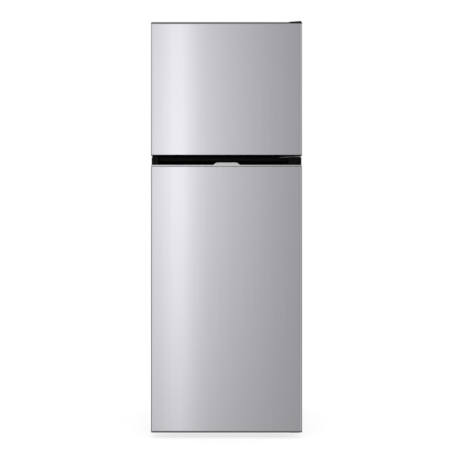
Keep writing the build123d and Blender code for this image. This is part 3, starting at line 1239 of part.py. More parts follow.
with BuildPart() as rear_spacers:
    # Posts that clip the condenser to the back and keep the cabinet off the wall
    for height in (CONDENSER_BOTTOM, CONDENSER_TOP):
        for x in (-5 * WIRE_PITCH, 5 * WIRE_PITCH):
            block(
                (x - SPACER_WIDTH / 2, x + SPACER_WIDTH / 2),
                (Y_BACK, Y_BACK + REAR_STANDOFF),
                (height - SPACER_HEIGHT / 2, height + SPACER_HEIGHT / 2),
            )
            with BuildSketch(Plane.YZ.offset(x - SPACER_WIDTH / 2)):
                with Locations((Y_CONDENSER, height)):
                    RegularPolygon(CONDENSER_TUBE_RADIUS + GROOVE_GAP, TUBE_SIDES, rotation=90)
            extrude(amount=SPACER_WIDTH, mode=Mode.SUBTRACT)
save(rear_spacers, "rear_spacers")

with BuildPart() as filter_drier:
    # Copper bulb with drawn-in ends at the foot of the condenser
    with BuildSketch(Plane.XY.offset(DRIER_TOP - DRIER_LENGTH)):
        with Locations((CONDENSER_HALF_WIDTH, Y_CONDENSER)):
            RegularPolygon(DRIER_RADIUS, TUBE_SIDES)
    extrude(amount=DRIER_LENGTH)
    ends = filter_drier.faces().filter_by(Axis.Z).edges()
    chamfer(ends, DRIER_TAPER, DRIER_RADIUS - DRIER_END)
save(filter_drier, "filter_drier")

SUCTION_HEIGHT = SEAM_HEIGHT + 4 * COMPRESSOR_SEAM
DISCHARGE_HEIGHT = SEAM_HEIGHT - 4 * COMPRESSOR_SEAM
SUCTION_X = COMPRESSOR_OFFSET + COMPRESSOR_RADIUS + STUB_LENGTH
DISCHARGE_Y = COMPRESSOR_Y + COMPRESSOR_RADIUS + STUB_LENGTH
PIPE_BEND = 4 * PIPE_RADIUS
DRIER_BOTTOM = DRIER_TOP - DRIER_LENGTH

with BuildPart() as refrigerant_pipes:
    # Return pipe from the cabinet to the compressor
    with BuildLine() as return_path:
        FilletPolyline(
            (SUCTION_X, COMPRESSOR_Y, SUCTION_HEIGHT),
            (SUCTION_X + 3 * PIPE_BEND, COMPRESSOR_Y, SUCTION_HEIGHT),
            (SUCTION_X + 3 * PIPE_BEND, COMPRESSOR_Y, BAY_TOP),
            radius=PIPE_BEND,
        )
    with BuildSketch(Plane(return_path.line @ 0, z_dir=return_path.line % 0)):
        RegularPolygon(PIPE_RADIUS, TUBE_SIDES)
    sweep()
    # Delivery pipe from the compressor to the rising tube
    with BuildLine() as delivery_path:
        FilletPolyline(
            (COMPRESSOR_OFFSET, DISCHARGE_Y, DISCHARGE_HEIGHT),
            (COMPRESSOR_OFFSET, Y_CONDENSER, DISCHARGE_HEIGHT),
            (RISER_X, Y_CONDENSER, DISCHARGE_HEIGHT),
            (RISER_X, Y_CONDENSER, RISER_START),
            radius=PIPE_BEND,
        )
    with BuildSketch(Plane(delivery_path.line @ 0, z_dir=delivery_path.line % 0)):
        RegularPolygon(PIPE_RADIUS, TUBE_SIDES)
    sweep()
    # Thin pipe from the drier back into the cabinet
    with BuildLine() as feed_path:
        FilletPolyline(
            (CONDENSER_HALF_WIDTH, Y_CONDENSER, DRIER_BOTTOM),
            (CONDENSER_HALF_WIDTH, Y_CONDENSER, DRIER_BOTTOM - 3 * PIPE_BEND),
            (CONDENSER_HALF_WIDTH, Y_BAY + MACHINE_DEPTH / 4, DRIER_BOTTOM - 3 * PIPE_BEND),
            (CONDENSER_HALF_WIDTH, Y_BAY + MACHINE_DEPTH / 4, BAY_TOP),
            radius=PIPE_BEND,
        )
    with BuildSketch(Plane(feed_path.line @ 0, z_dir=feed_path.line % 0)):
        RegularPolygon(PIPE_RADIUS / 2, TUBE_SIDES)
    sweep()
save(refrigerant_pipes, "refrigerant_pipes")
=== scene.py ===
"""Looks of a two-door refrigerator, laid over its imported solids.

Metres, +Z up, the doors face -Y. A new piece is a surface worked out on a grid of points; it rides on
a body of the frame and stands for the solids it replaces.
"""

import json
import math

import bmesh
import bpy
import numpy as np
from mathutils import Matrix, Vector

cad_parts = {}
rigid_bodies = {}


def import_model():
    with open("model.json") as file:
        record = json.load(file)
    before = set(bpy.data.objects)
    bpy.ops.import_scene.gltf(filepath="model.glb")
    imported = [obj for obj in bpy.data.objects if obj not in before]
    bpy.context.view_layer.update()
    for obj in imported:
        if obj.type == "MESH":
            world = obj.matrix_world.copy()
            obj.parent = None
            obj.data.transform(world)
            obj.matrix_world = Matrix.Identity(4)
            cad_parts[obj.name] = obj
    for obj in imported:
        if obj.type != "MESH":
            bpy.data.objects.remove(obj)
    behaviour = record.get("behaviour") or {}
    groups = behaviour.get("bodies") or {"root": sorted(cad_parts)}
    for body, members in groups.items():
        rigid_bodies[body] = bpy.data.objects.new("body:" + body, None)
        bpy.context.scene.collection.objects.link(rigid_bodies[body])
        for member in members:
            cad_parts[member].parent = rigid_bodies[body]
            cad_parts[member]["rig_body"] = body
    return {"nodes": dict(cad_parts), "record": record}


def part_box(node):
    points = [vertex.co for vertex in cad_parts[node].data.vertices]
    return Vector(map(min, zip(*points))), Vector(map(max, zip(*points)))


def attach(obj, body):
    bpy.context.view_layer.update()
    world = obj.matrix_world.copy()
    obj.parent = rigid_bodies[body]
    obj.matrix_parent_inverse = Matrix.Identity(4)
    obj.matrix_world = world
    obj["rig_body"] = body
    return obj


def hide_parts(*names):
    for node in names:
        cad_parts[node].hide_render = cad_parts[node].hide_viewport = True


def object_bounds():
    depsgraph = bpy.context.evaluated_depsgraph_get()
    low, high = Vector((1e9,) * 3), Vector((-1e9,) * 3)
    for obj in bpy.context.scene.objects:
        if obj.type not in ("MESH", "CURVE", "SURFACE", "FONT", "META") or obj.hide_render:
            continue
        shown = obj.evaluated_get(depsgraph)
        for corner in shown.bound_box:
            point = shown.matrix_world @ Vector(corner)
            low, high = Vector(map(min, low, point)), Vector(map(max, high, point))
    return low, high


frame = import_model()
cad_low, cad_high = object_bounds()

NODES = frame["nodes"]
NODE_SLOT = {part["node"]: part["material_slot"] for part in frame["record"]["subparts"]}

# Sizes in metres
MM = 0.001
DOOR_CORNER = 9 * MM
SHEET_BEND = 1.2 * MM
SHEET_THICKNESS = 0.8 * MM
SHEET_LIP = 10 * MM
SHEET_ROLL = 0.3 * MM
CAP_EDGE = 0.9 * MM
GUARD = 0.8 * MM  # line of points beside a bend, so that flat faces stay flat
LEAST_RADIUS = 0.1 * MM
CORNER_STEPS = 12  # parts of a door's corner, the same on its sheet, caps and trim

# Directions from the middle of a rectangle to its corners, anticlockwise
CORNER_SIGNS = np.array([(1, 1), (-1, 1), (-1, -1), (1, -1)], float)


# Surfaces

def grid_faces(rows, columns, wrap_rows=False, wrap_columns=False):
    """Faces of a grid of points: each joins a point, the next in its row and the two in the row after."""
    row = np.arange(rows if wrap_rows else rows - 1)[:, None]
    column = np.arange(columns if wrap_columns else columns - 1)[None, :]
    next_row = (row + 1) % rows
    next_column = (column + 1) % columns
    near = (row * columns + column, row * columns + next_column)
    far = (next_row * columns + next_column, next_row * columns + column)
    return np.stack(near + far, axis=-1).reshape(-1, 4).tolist()


def closed_faces(rings, count):
    """Faces of a skin over rings of points, with a flat face over the first ring and one over the last."""
    start = count * (rings - 1)
    ends = [list(range(count))[::-1], list(range(start, start + count))]
    return grid_faces(rings, count, wrap_columns=True) + ends


def rounded_outline(low, high, radii, steps, guard=GUARD):
    """Rectangle in plan, anticlockwise: a quarter circle at each corner, with a guard point at each end."""
    radii = np.broadcast_to(np.asarray(radii, float), 4)[:, None]
    centre = np.where(CORNER_SIGNS > 0, np.asarray(high)[:2], np.asarray(low)[:2]) - CORNER_SIGNS * radii
    turn = np.linspace(0, np.pi / 2, steps + 1) + np.arange(4)[:, None] * np.pi / 2
    arc = centre[:, None] + radii[..., None] * np.stack([np.cos(turn), np.sin(turn)], axis=-1)
    along = np.stack([-np.sin(turn), np.cos(turn)], axis=-1)
    before = arc[:, :1] - guard * along[:, :1]
    after = arc[:, -1:] + guard * along[:, -1:]
    return np.concatenate([before, arc, after], axis=1)


def inset_outlines(low, high, radii, insets, steps, guard=GUARD):
    """A rounded rectangle drawn in by each inset in turn, with its corners' radii less by as much."""
    low, high = np.asarray(low, float)[:2], np.asarray(high, float)[:2]
    radii = np.broadcast_to(np.asarray(radii, float), 4)
    return [
        rounded_outline(low + inset, high - inset, np.maximum(radii - inset, LEAST_RADIUS), steps, guard)
        for inset in insets
    ]


def edge_round(edge, guard=GUARD, steps=5):
    """Quarter round of a bottom edge: how far in and how far up each of its lines lies."""
    turn = np.linspace(0, np.pi / 2, steps)
    inset = np.append(edge * (1 - np.sin(turn)), 0)
    rise = np.append(edge * (1 - np.cos(turn)), edge + guard)
    return inset, rise


def both_edges(low, high, edge, guard=GUARD):
    """Quarter rounds of a bottom edge and a top edge: insets and heights of all their lines."""
    inset, rise = edge_round(edge, guard)
    return np.concatenate([inset, inset[::-1]]), np.concatenate([low[2] + rise, high[2] - rise[::-1]])


def stacked(outlines, heights):
    """Closed skin through plan outlines at rising heights, with a flat face at each end."""
    rings = [np.reshape(outline, (-1, 2)) for outline in outlines]
    count = len(rings[0])
    points = np.concatenate([np.column_stack([r, np.full(count, z)]) for r, z in zip(rings, heights)])
    return points, closed_faces(len(rings), count)


def soft_block(low, high, radii, edge, steps=8, guard=GUARD):
    """Block whose upright corners have the given radii and whose top and bottom edges are quarter round."""
    insets, heights = both_edges(low, high, edge, guard)
    return stacked(inset_outlines(low, high, radii, insets, steps, guard), heights)


def open_tray(low, high, radii, wall, edge, steps):
    """Tray: up the outside from a round floor edge, over a half-round rim, down the inside to the floor."""
    inset, rise = edge_round(edge)
    over = np.linspace(0, np.pi, 7)
    inner_inset, inner_rise = edge_round(edge - wall)
    insets = np.concatenate([inset, 0.5 * wall * (1 - np.cos(over)), wall + inner_inset[::-1]])
    rim = high[2] - 0.5 * wall * (1 - np.sin(over))
    heights = np.concatenate([low[2] + rise, rim, low[2] + wall + inner_rise[::-1]])
    return stacked(inset_outlines(low, high, radii, insets, steps), heights)


def bent_path(corners, bend, steps=8):
    """Path through square corners, each turned by a quarter circle of the bend's radius."""
    corners = np.asarray(corners, float)
    legs = np.diff(corners, axis=0)
    legs /= np.linalg.norm(legs, axis=1)[:, None]
    before, after = legs[:-1, None], legs[1:, None]
    turn = np.linspace(0, np.pi / 2, steps + 1)[None, :, None]
    arcs = corners[1:-1, None] + bend * ((np.sin(turn) - 1) * before + (1 - np.cos(turn)) * after)
    return np.concatenate([corners[:1], arcs.reshape(-1, 3), corners[-1:]])


ASKEW = (0.48, 0.6, 0.64)  # a direction that no tube runs along


def round_tube(path, radius, sides):
    """Circle carried along a path, square to it at each point, with flat ends."""
    legs = np.diff(path, axis=0)
    legs /= np.linalg.norm(legs, axis=1)[:, None]
    along = np.concatenate([legs[:1], legs[:-1] + legs[1:], legs[-1:]])
    along /= np.linalg.norm(along, axis=1)[:, None]
    side = np.cross(along, ASKEW)
    side /= np.linalg.norm(side, axis=1)[:, None]
    across = np.cross(along, side)
    turn = np.linspace(0, 2 * np.pi, sides, endpoint=False)[None, :, None]
    points = path[:, None] + radius * (np.cos(turn) * side[:, None] + np.sin(turn) * across[:, None])
    return points.reshape(-1, 3), closed_faces(len(path), sides)


def softened(corners, bend, steps=4):
    """Line through corners, each replaced by a short parabola that starts and ends a bend away from it."""
    corners = np.asarray(corners, float)
    legs = np.diff(corners, axis=0)
    length = np.linalg.norm(legs, axis=1)[:, None]
    reach = np.minimum(bend, 0.45 * np.minimum(length[:-1], length[1:]))
    start = corners[1:-1] - reach * legs[:-1] / length[:-1]
    end = corners[1:-1] + reach * legs[1:] / length[1:]
    step = np.linspace(0, 1, steps + 1)[None, :, None]
    pull = 2 * step * (1 - step) * corners[1:-1, None]
    curve = (1 - step) ** 2 * start[:, None] + pull + step**2 * end[:, None]
    return np.concatenate([corners[:1], curve.reshape(-1, corners.shape[1]), corners[-1:]])


def turned(profile, centre, axis, steps, ripple=None):
    """Profile of radius against height, turned about an axis; a ripple scales the radius by the angle."""
    radius, height = np.asarray(profile, float).T
    turn = np.linspace(0, 2 * np.pi, steps, endpoint=False)
    reach = radius[:, None] * np.ones(steps)
    if ripple is not None:
        reach = reach * ripple(turn)[None, :]
    level = np.repeat(height[:, None], steps, axis=1)
    first, second = reach * np.cos(turn), reach * np.sin(turn)
    order = {"X": (level, first, second), "Y": (first, level, second), "Z": (first, second, level)}[axis]
    points = np.stack(order, axis=-1).reshape(-1, 3) + np.asarray(centre, float)
    return points, grid_faces(len(radius), steps, wrap_columns=True)


def joined(*shapes):
    """Several closed surfaces as one mesh."""
    starts = np.cumsum([0] + [len(points) for points, _ in shapes])
    points = np.concatenate([points for points, _ in shapes])
    faces = [
        [int(start) + corner for corner in face]
        for start, (_, shape_faces) in zip(starts, shapes)
        for face in shape_faces
    ]
    return points, faces


# Finishes

def feed(tree, socket, value):
    """Links a socket to another one, or sets it to a plain value."""
    if isinstance(value, bpy.types.NodeSocket):
        tree.links.new(value, socket)
    else:
        socket.default_value = value


def add_node(tree, kind, **inputs):
    """Adds a node to a tree and feeds its inputs, named with _ for a space."""
    node = tree.nodes.new(kind)
    for name, value in inputs.items():
        feed(tree, node.inputs[name.replace("_", " ")], value)
    return node


def node_maths(tree):
    """Gives a function that adds a maths node to a tree and feeds its inputs in order."""

    def worked(operation, *values):
        node = tree.nodes.new("ShaderNodeMath")
        node.operation = operation
        for socket, value in zip(node.inputs, values):
            feed(tree, socket, value)
        return node.outputs["Value"]

    return worked


class Finish:
    """Node material: a Principled shader with its plain sockets set, and the patterns that feed it."""

    def __init__(self, slot, **plain):
        self.material = bpy.data.materials.new(slot)
        self.material.use_nodes = True
        self.tree = self.material.node_tree
        self.sockets = self.tree.nodes["Principled BSDF"].inputs
        for socket, value in plain.items():
            self.sockets[socket.replace("_", " ")].default_value = value
        self.place = self.add("ShaderNodeTexCoord").outputs["Object"]

    def add(self, kind, **inputs):
        return add_node(self.tree, kind, **inputs)

    def noise(self, scale, detail, vector=None):
        node = self.add("ShaderNodeTexNoise", Scale=scale, Detail=detail, Vector=vector or self.place)
        return node.outputs["Fac"]

    def streaks(self, detail, stretch):
        """Noise with a scale of its own along each axis."""
        mapping = self.add("ShaderNodeMapping", Scale=stretch, Vector=self.place)
        return self.noise(1.0, detail, mapping.outputs["Vector"])

    def cells(self, scale, output="Distance"):
        return self.add("ShaderNodeTexVoronoi", Scale=scale, Vector=self.place).outputs[output]

    def bands(self, scale, direction):
        node = self.add("ShaderNodeTexWave", Scale=scale, Vector=self.place)
        node.bands_direction = direction
        return node.outputs["Fac"]

    def spread(self, value, low, high, start=0.3, stop=0.7):
        """A pattern's range from start to stop, laid over the range from low to high."""
        limits = {"From_Min": start, "From_Max": stop, "To_Min": low, "To_Max": high}
        return self.add("ShaderNodeMapRange", Value=value, **limits).outputs["Result"]

    def sum(self, first, second, share):
        """One pattern and a share of another."""
        return node_maths(self.tree)("MULTIPLY_ADD", second, share, first)

    def colour(self, value, dark, light):
        mix = self.add("ShaderNodeMix")
        mix.data_type = "RGBA"
        for socket, fed in (("A", (*dark, 1.0)), ("B", (*light, 1.0)), ("Factor", value)):
            feed(self.tree, mix.inputs[socket], fed)
        feed(self.tree, self.sockets["Base Color"], mix.outputs["Result"])

    def roughness(self, value, low, high):
        feed(self.tree, self.sockets["Roughness"], self.spread(value, low, high))

    def bump(self, height, depth, strength):
        node = self.add("ShaderNodeBump", Strength=strength, Distance=depth, Height=height)
        feed(self.tree, self.sockets["Normal"], node.outputs["Normal"])

    def clouded(self, scale, detail, dark, light, low, high):
        """Colour and roughness that follow the same noise."""
        cloud = self.noise(scale, detail)
        self.colour(cloud, dark, light)
        self.roughness(cloud, low, high)

    def grain(self, scale, depth, strength):
        """Fine noise as bump."""
        self.bump(self.noise(scale, 2.0), depth, strength)


FINISHES = {}


def finished(**plain):
    """Makes a finish's material: plain sockets from the arguments, patterns from the function under it."""

    def make(patterns):
        finish = Finish(patterns.__name__, **plain)
        patterns(finish)
        FINISHES[patterns.__name__] = finish.material
        return patterns

    return make


@finished(Metallic=1.0)
def door_steel(finish):
    hairline = finish.streaks(2.0, (420, 420, 3))
    soft = finish.streaks(3.0, (60, 60, 0.7))
    streak = finish.sum(hairline, soft, 0.6)
    finish.colour(finish.spread(streak, 0, 1, 0.5, 1.1), (0.75, 0.742, 0.785), (0.78, 0.772, 0.815))
    finish.roughness(streak, 0.09, 0.1)


@finished(Coat_Weight=0.25, Coat_Roughness=0.2)
def cabinet_paint(finish):
    peel = finish.noise(420, 2.0)
    cloud = finish.noise(5, 3.0)
    finish.colour(cloud, (0.5, 0.51, 0.53), (0.56, 0.57, 0.59))
    finish.roughness(peel, 0.34, 0.44)
    finish.bump(peel, 0.06 * MM, 0.5)


@finished()
def grey_cap(finish):
    grain = finish.cells(1100)
    cloud = finish.noise(30, 3.0)
    finish.colour(cloud, (0.15, 0.15, 0.156), (0.175, 0.175, 0.182))
    finish.roughness(grain, 0.42, 0.56)
    finish.bump(grain, 0.08 * MM, 0.5)


@finished(Specular_IOR_Level=0.08)
def black_plastic(finish):
    finish.clouded(24, 4.0, (0.002, 0.002, 0.0022), (0.004, 0.004, 0.0044), 0.22, 0.32)
    finish.grain(700, 0.02 * MM, 0.3)


@finished(Metallic=1.0)
def bright_trim(finish):
    hairline = finish.streaks(2.0, (14, 1800, 1800))
    finish.colour(hairline, (0.74, 0.74, 0.75), (0.82, 0.82, 0.83))
    finish.roughness(hairline, 0.2, 0.3)
    finish.bump(hairline, 0.01 * MM, 0.25)


@finished(Coat_Weight=0.12, Coat_Roughness=0.12)
def white_plastic(finish):
    finish.clouded(4, 4.0, (0.84, 0.85, 0.85), (0.89, 0.9, 0.9), 0.28, 0.38)
    finish.grain(300, 0.05 * MM, 0.4)


@finished()
def insulation_foam(finish):
    cell = finish.cells(650)
    cloud = finish.noise(18, 4.0)
    finish.colour(finish.sum(cloud, cell, 0.3), (0.72, 0.62, 0.36), (0.88, 0.82, 0.6))
    finish.roughness(cell, 0.75, 0.95)
    finish.bump(cell, 0.4 * MM, 0.8)


@finished()
def gasket_rubber(finish):
    finish.clouded(40, 4.0, (0.44, 0.44, 0.45), (0.54, 0.54, 0.55), 0.5, 0.66)
    finish.grain(1200, 0.05 * MM, 0.5)


@finished(Transmission_Weight=1.0, IOR=1.5)
def shelf_glass(finish):
    finish.clouded(8, 4.0, (0.86, 0.96, 0.93), (0.92, 0.98, 0.96), 0.0, 0.04)


@finished(Coat_Weight=0.3, Coat_Roughness=0.1)
def shelf_trim(finish):
    hairline = finish.streaks(2.0, (20, 900, 900))
    finish.colour(hairline, (0.74, 0.75, 0.76), (0.82, 0.83, 0.84))
    finish.roughness(hairline, 0.26, 0.36)
    finish.bump(hairline, 0.02 * MM, 0.4)


@finished(Transmission_Weight=0.94, IOR=1.4)
def clear_plastic(finish):
    finish.clouded(9, 4.0, (0.95, 0.975, 0.985), (0.97, 0.985, 0.99), 0.03, 0.1)
    finish.grain(60, 0.1 * MM, 0.2)


@finished(Transmission_Weight=0.45, IOR=1.45)
def lamp_diffuser(finish):
    rib = finish.bands(90, "X")
    finish.colour(finish.noise(20, 3.0), (0.9, 0.91, 0.9), (0.96, 0.96, 0.94))
    finish.roughness(rib, 0.3, 0.5)
    finish.bump(rib, 0.5 * MM, 0.8)


@finished()
def lamp_module(finish):
    speck = finish.cells(180)
    finish.colour(speck, (0.8, 0.8, 0.74), (0.92, 0.92, 0.88))
    finish.roughness(speck, 0.35, 0.55)
    finish.bump(speck, 0.1 * MM, 0.5)


@finished(Coat_Weight=0.2, Coat_Roughness=0.15)
def control_plastic(finish):
    finish.clouded(60, 3.0, (0.64, 0.65, 0.66), (0.72, 0.73, 0.74), 0.26, 0.38)
    finish.grain(900, 0.02 * MM, 0.5)


@finished(Metallic=0.85)
def zinc_sheet(finish):
    flake = finish.cells(95, "Color")
    cloud = finish.noise(12, 4.0)
    shade = finish.sum(cloud, flake, 0.35)
    finish.colour(finish.spread(shade, 0, 1, 0.4, 0.95), (0.5, 0.51, 0.52), (0.68, 0.69, 0.7))
    finish.roughness(shade, 0.36, 0.5)
    finish.grain(500, 0.03 * MM, 0.4)


@finished(Metallic=1.0)
def cold_plate(finish):
    rolled = finish.streaks(3.0, (600, 600, 12))
    finish.colour(rolled, (0.66, 0.67, 0.68), (0.76, 0.77, 0.78))
    finish.roughness(rolled, 0.3, 0.45)
    finish.bump(rolled, 0.03 * MM, 0.4)


@finished(Coat_Weight=0.2, Coat_Roughness=0.25)
def black_metal(finish):
    finish.clouded(26, 5.0, (0.011, 0.011, 0.012), (0.024, 0.024, 0.026), 0.3, 0.48)
    finish.grain(380, 0.08 * MM, 0.6)


@finished(Metallic=1.0)
def copper(finish):
    tarnish = finish.noise(34, 5.0)
    finish.colour(finish.spread(tarnish, 0, 1, 0.35, 0.65), (0.5, 0.25, 0.15), (0.8, 0.46, 0.31))
    finish.roughness(tarnish, 0.24, 0.46)
    finish.grain(500, 0.03 * MM, 0.4)


@finished()
def mount_rubber(finish):
    finish.clouded(90, 4.0, (0.022, 0.022, 0.022), (0.04, 0.04, 0.04), 0.62, 0.82)
    finish.grain(900, 0.08 * MM, 0.6)


@finished()
def nylon(finish):
    finish.clouded(50, 4.0, (0.1, 0.1, 0.105), (0.14, 0.14, 0.146), 0.42, 0.58)
    finish.bump(finish.cells(1000), 0.06 * MM, 0.5)


# Making pieces

MERGE_REACH = 0.002 * MM
WELD_REACH = 0.01 * MM
FLAT_ANGLE = math.radians(0.4)
BEVEL_STEPS = 2


def body_of(node):
    """The body that a solid belongs to."""
    return NODES[node]["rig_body"]


def corners_of(node):
    """The lowest and highest corner of a solid's box."""
    low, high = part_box(node)
    return np.array(low), np.array(high)


def settle(name, mesh, body, slot, nodes):
    """Gives a mesh its object, the finish named by its slot, and its body, and hides the solids it stands
    for.
    """
    piece = bpy.data.objects.new(name, mesh)
    bpy.context.scene.collection.objects.link(piece)
    mesh.materials.clear()
    mesh.materials.append(FINISHES[slot])
    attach(piece, body)
    if nodes:
        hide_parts(*nodes)
    return piece


def merged(mesh, reach):
    """A mesh opened for work, with points that lie within a reach of each other made one."""
    shell = bmesh.new()
    shell.from_mesh(mesh)
    bmesh.ops.remove_doubles(shell, verts=shell.verts, dist=reach)
    return shell


def shaded(mesh, shell, smooth):
    """Puts the work back into its mesh, shaded round but for edges that turn by more than so many degrees."""
    shell.to_mesh(mesh)
    shell.free()
    mesh.shade_smooth()
    mesh.set_sharp_from_angle(angle=math.radians(smooth))


def add_piece(name, shape, body, slot, *nodes, smooth=35, closed=True):
    """Piece from points and faces: poles and seams are merged and faces turned outwards."""
    points, faces = shape
    mesh = bpy.data.meshes.new(name)
    mesh.from_pydata(np.asarray(points).tolist(), [], faces)
    shell = merged(mesh, MERGE_REACH)
    if closed:
        bmesh.ops.recalc_face_normals(shell, faces=shell.faces)
    shaded(mesh, shell, smooth)
    return settle(name, mesh, body, slot, nodes)


def moulded(node, edge=0.0, smooth=35):
    """Copy of a solid with merged points, its edges rounded by a bevel and its flat faces kept flat."""
    mesh = NODES[node].data.copy()
    shell = merged(mesh, WELD_REACH)
    bmesh.ops.dissolve_limit(
        shell, angle_limit=FLAT_ANGLE, verts=shell.verts, edges=shell.edges, use_dissolve_boundaries=False
    )
    shaded(mesh, shell, smooth)
    piece = settle(node + "_moulded", mesh, body_of(node), NODE_SLOT[node], (node,))
    if edge:
        bevel = piece.modifiers.new("edge", "BEVEL")
        bevel.width = edge
        bevel.segments = BEVEL_STEPS
        bevel.limit_method = "ANGLE"
        bevel.angle_limit = math.radians(smooth)
    flat = piece.modifiers.new("flat", "WEIGHTED_NORMAL")
    flat.keep_sharp = True


for node, solid in NODES.items():
    for place in solid.material_slots:
        place.material = FINISHES[NODE_SLOT[node]]
    if not solid.material_slots:
        solid.data.materials.append(FINISHES[NODE_SLOT[node]])


# Doors

DOOR_RADII = (SHEET_BEND, SHEET_BEND, DOOR_CORNER, DOOR_CORNER)


def door_sheet(low, high):
    """Bent sheet: a line round the door in plan, from lip to lip, carried up and rolled in at both ends."""
    insets, heights = both_edges(low, high, SHEET_ROLL)
    lip = np.array([SHEET_LIP - SHEET_BEND, 0])
    rows = []
    for outline, height in zip(inset_outlines(low, high, DOOR_RADII, insets, CORNER_STEPS), heights):
        line = outline[[1, 2, 3, 0]].reshape(-1, 2)
        line = np.concatenate([line[:1] + lip, line, line[-1:] - lip])
        rows.append(np.column_stack([line, np.full(len(line), height)]))
    return np.concatenate(rows), grid_faces(len(rows), len(rows[0]))


for door in ("freezer_door", "fridge_door"):
    skin = door + "_skin"
    shape = door_sheet(*corners_of(skin))
    sheet = add_piece(door + "_sheet", shape, body_of(skin), "door_steel", skin, closed=False)
    wall = sheet.modifiers.new("wall", "SOLIDIFY")
    wall.thickness = SHEET_THICKNESS
    wall.offset = -1.0

HINGE_CORNER_LEFT = 228 * MM
HINGE_CORNER_DEPTH = 3.7 * MM
HINGE_CORNER_EDGE = 0.4 * MM
GRIP_EDGE = 0.4 * MM


def notched_cap(low, high, notch):
    """Cap in plan outlines: whole up to the notch's floor, then only the part to the left of the notch."""
    inset, rise = edge_round(CAP_EDGE)
    floor = high[2] - HINGE_CORNER_DEPTH
    heights = np.concatenate([low[2] + rise, [floor, floor], high[2] - rise[::-1]])
    cut_radii = (CAP_EDGE, SHEET_BEND, DOOR_CORNER, CAP_EDGE)
    whole = inset_outlines(low, high, DOOR_RADII, np.append(inset, 0), CORNER_STEPS)
    cut = inset_outlines(low, (notch, high[1]), cut_radii, np.append(0, inset[::-1]), CORNER_STEPS)
    return stacked(whole + cut, heights)


cap_low, cap_high = corners_of("freezer_top_cap")
cap_low[2] = corners_of("freezer_door_skin")[1][2]
top_cover = notched_cap(cap_low, cap_high, HINGE_CORNER_LEFT)
add_piece("freezer_top_cover", top_cover, "freezer_door", "grey_cap", "freezer_top_cap")
corner_low = (HINGE_CORNER_LEFT + HINGE_CORNER_EDGE, cap_low[1], cap_high[2] - HINGE_CORNER_DEPTH)
corner_radii = (SHEET_BEND, CAP_EDGE, CAP_EDGE, DOOR_CORNER)
hinge_corner = soft_block(corner_low, cap_high, corner_radii, HINGE_CORNER_EDGE, CORNER_STEPS)
add_piece("hinge_corner", hinge_corner, "freezer_door", "black_plastic")
cap_low, cap_high = corners_of("fridge_bottom_cap")
cap_high[2] = corners_of("fridge_door_skin")[0][2]
bottom_cover = soft_block(cap_low, cap_high, DOOR_RADII, CAP_EDGE, CORNER_STEPS)
add_piece("fridge_bottom_cover", bottom_cover, "fridge_door", "grey_cap", "fridge_bottom_cap")
moulded("freezer_pull_cap", GRIP_EDGE, smooth=50)
moulded("grip_cap", GRIP_EDGE)


# Grip trim

TRIM_HEIGHT = 4.75 * MM
TRIM_LIFT = 0.45 * MM  # dark groove between the sheet and the trim
TRIM_DEPTH = 2.3 * MM
TAB_DEPTH = 6 * MM
TAB_FOOT = 52 * MM
TAB_WAIST = 43 * MM
TAB_TOP = 34 * MM
TAB_POINTS = 25
TAB_SWELL = 8  # the tab has its whole depth after one part in so many of its rise
TRIM_CHAMFER = 0.35 * MM
TAB_CHAMFER = 1.3 * MM


def trim_strip(low, high):
    """Section carried round the door's front in plan. Its top rises over the tab along a cubic S-curve."""
    low = low + (0, 0, TRIM_LIFT)
    step = np.linspace(0, 1, TAB_POINTS)
    side = (1 - step) ** 3 * TAB_FOOT + 3 * step * (1 - step) * TAB_WAIST + step**3 * TAB_TOP
    climb = 3 * step**2 - 2 * step**3
    turn = np.linspace(np.pi, 1.5 * np.pi, CORNER_STEPS + 1)
    outward = np.column_stack([np.cos(turn), np.sin(turn)])
    end = np.array([(low[0], high[1])])
    front = np.column_stack([-side, np.full(len(side), low[1])])
    left = np.concatenate([end, low[:2] + DOOR_CORNER * (1 + outward), front])
    inward = np.concatenate([[(1, 0)], -outward, np.tile((0, 1), (len(side), 1))])
    rise = np.concatenate([np.zeros(1 + len(turn)), climb])
    plan = np.concatenate([left, left[::-1] * (-1, 1)])
    inward = np.concatenate([inward, inward[::-1] * (-1, 1)])
    rise = np.concatenate([rise, rise[::-1]])
    top = low[2] + TRIM_HEIGHT + rise * (high[2] - low[2] - TRIM_HEIGHT)
    depth = TRIM_DEPTH + np.clip(TAB_SWELL * rise, 0, 1) * (TAB_DEPTH - TRIM_DEPTH)
    chamfer = TRIM_CHAMFER + rise * (TAB_CHAMFER - TRIM_CHAMFER)
    none, foot = np.zeros(len(top)), np.full(len(top), low[2])
    offset = np.stack([none + TRIM_CHAMFER, none, none, chamfer, depth, none + TRIM_DEPTH], axis=1)
    level = np.stack([foot, foot + TRIM_CHAMFER, top - chamfer, top, top, foot], axis=1)
    flat = plan[:, None] + offset[..., None] * inward[:, None]
    points = np.concatenate([flat, level[..., None]], axis=-1)
    return points.reshape(-1, 3), closed_faces(*level.shape)


trim = trim_strip(*corners_of("grip_trim"))
add_piece("grip_trim_strip", trim, "fridge_door", "bright_trim", "grip_trim", smooth=25)


# Hinge cover on the roof

COVER_FRONT_LEFT = 1.1 * MM
COVER_FRONT_RIGHT = 4.4 * MM
COVER_LEVEL_FROM = 0.55  # share of the width after which the lid climbs no further to the right
COVER_RADII = np.array([4, 3, 3, 4]) * MM
# Each ring's size as a share of the outline, and its height as a share of the lid's
LID_SIZES = np.array([1, 1, 0.995, 0.985, 0.965, 0.94, 0.8, 0.6, 0.4, 0.2, 0])
LID_RISES = np.array([0, 0.84, 0.91, 0.96, 0.99, 1, 1, 1, 1, 1, 1])


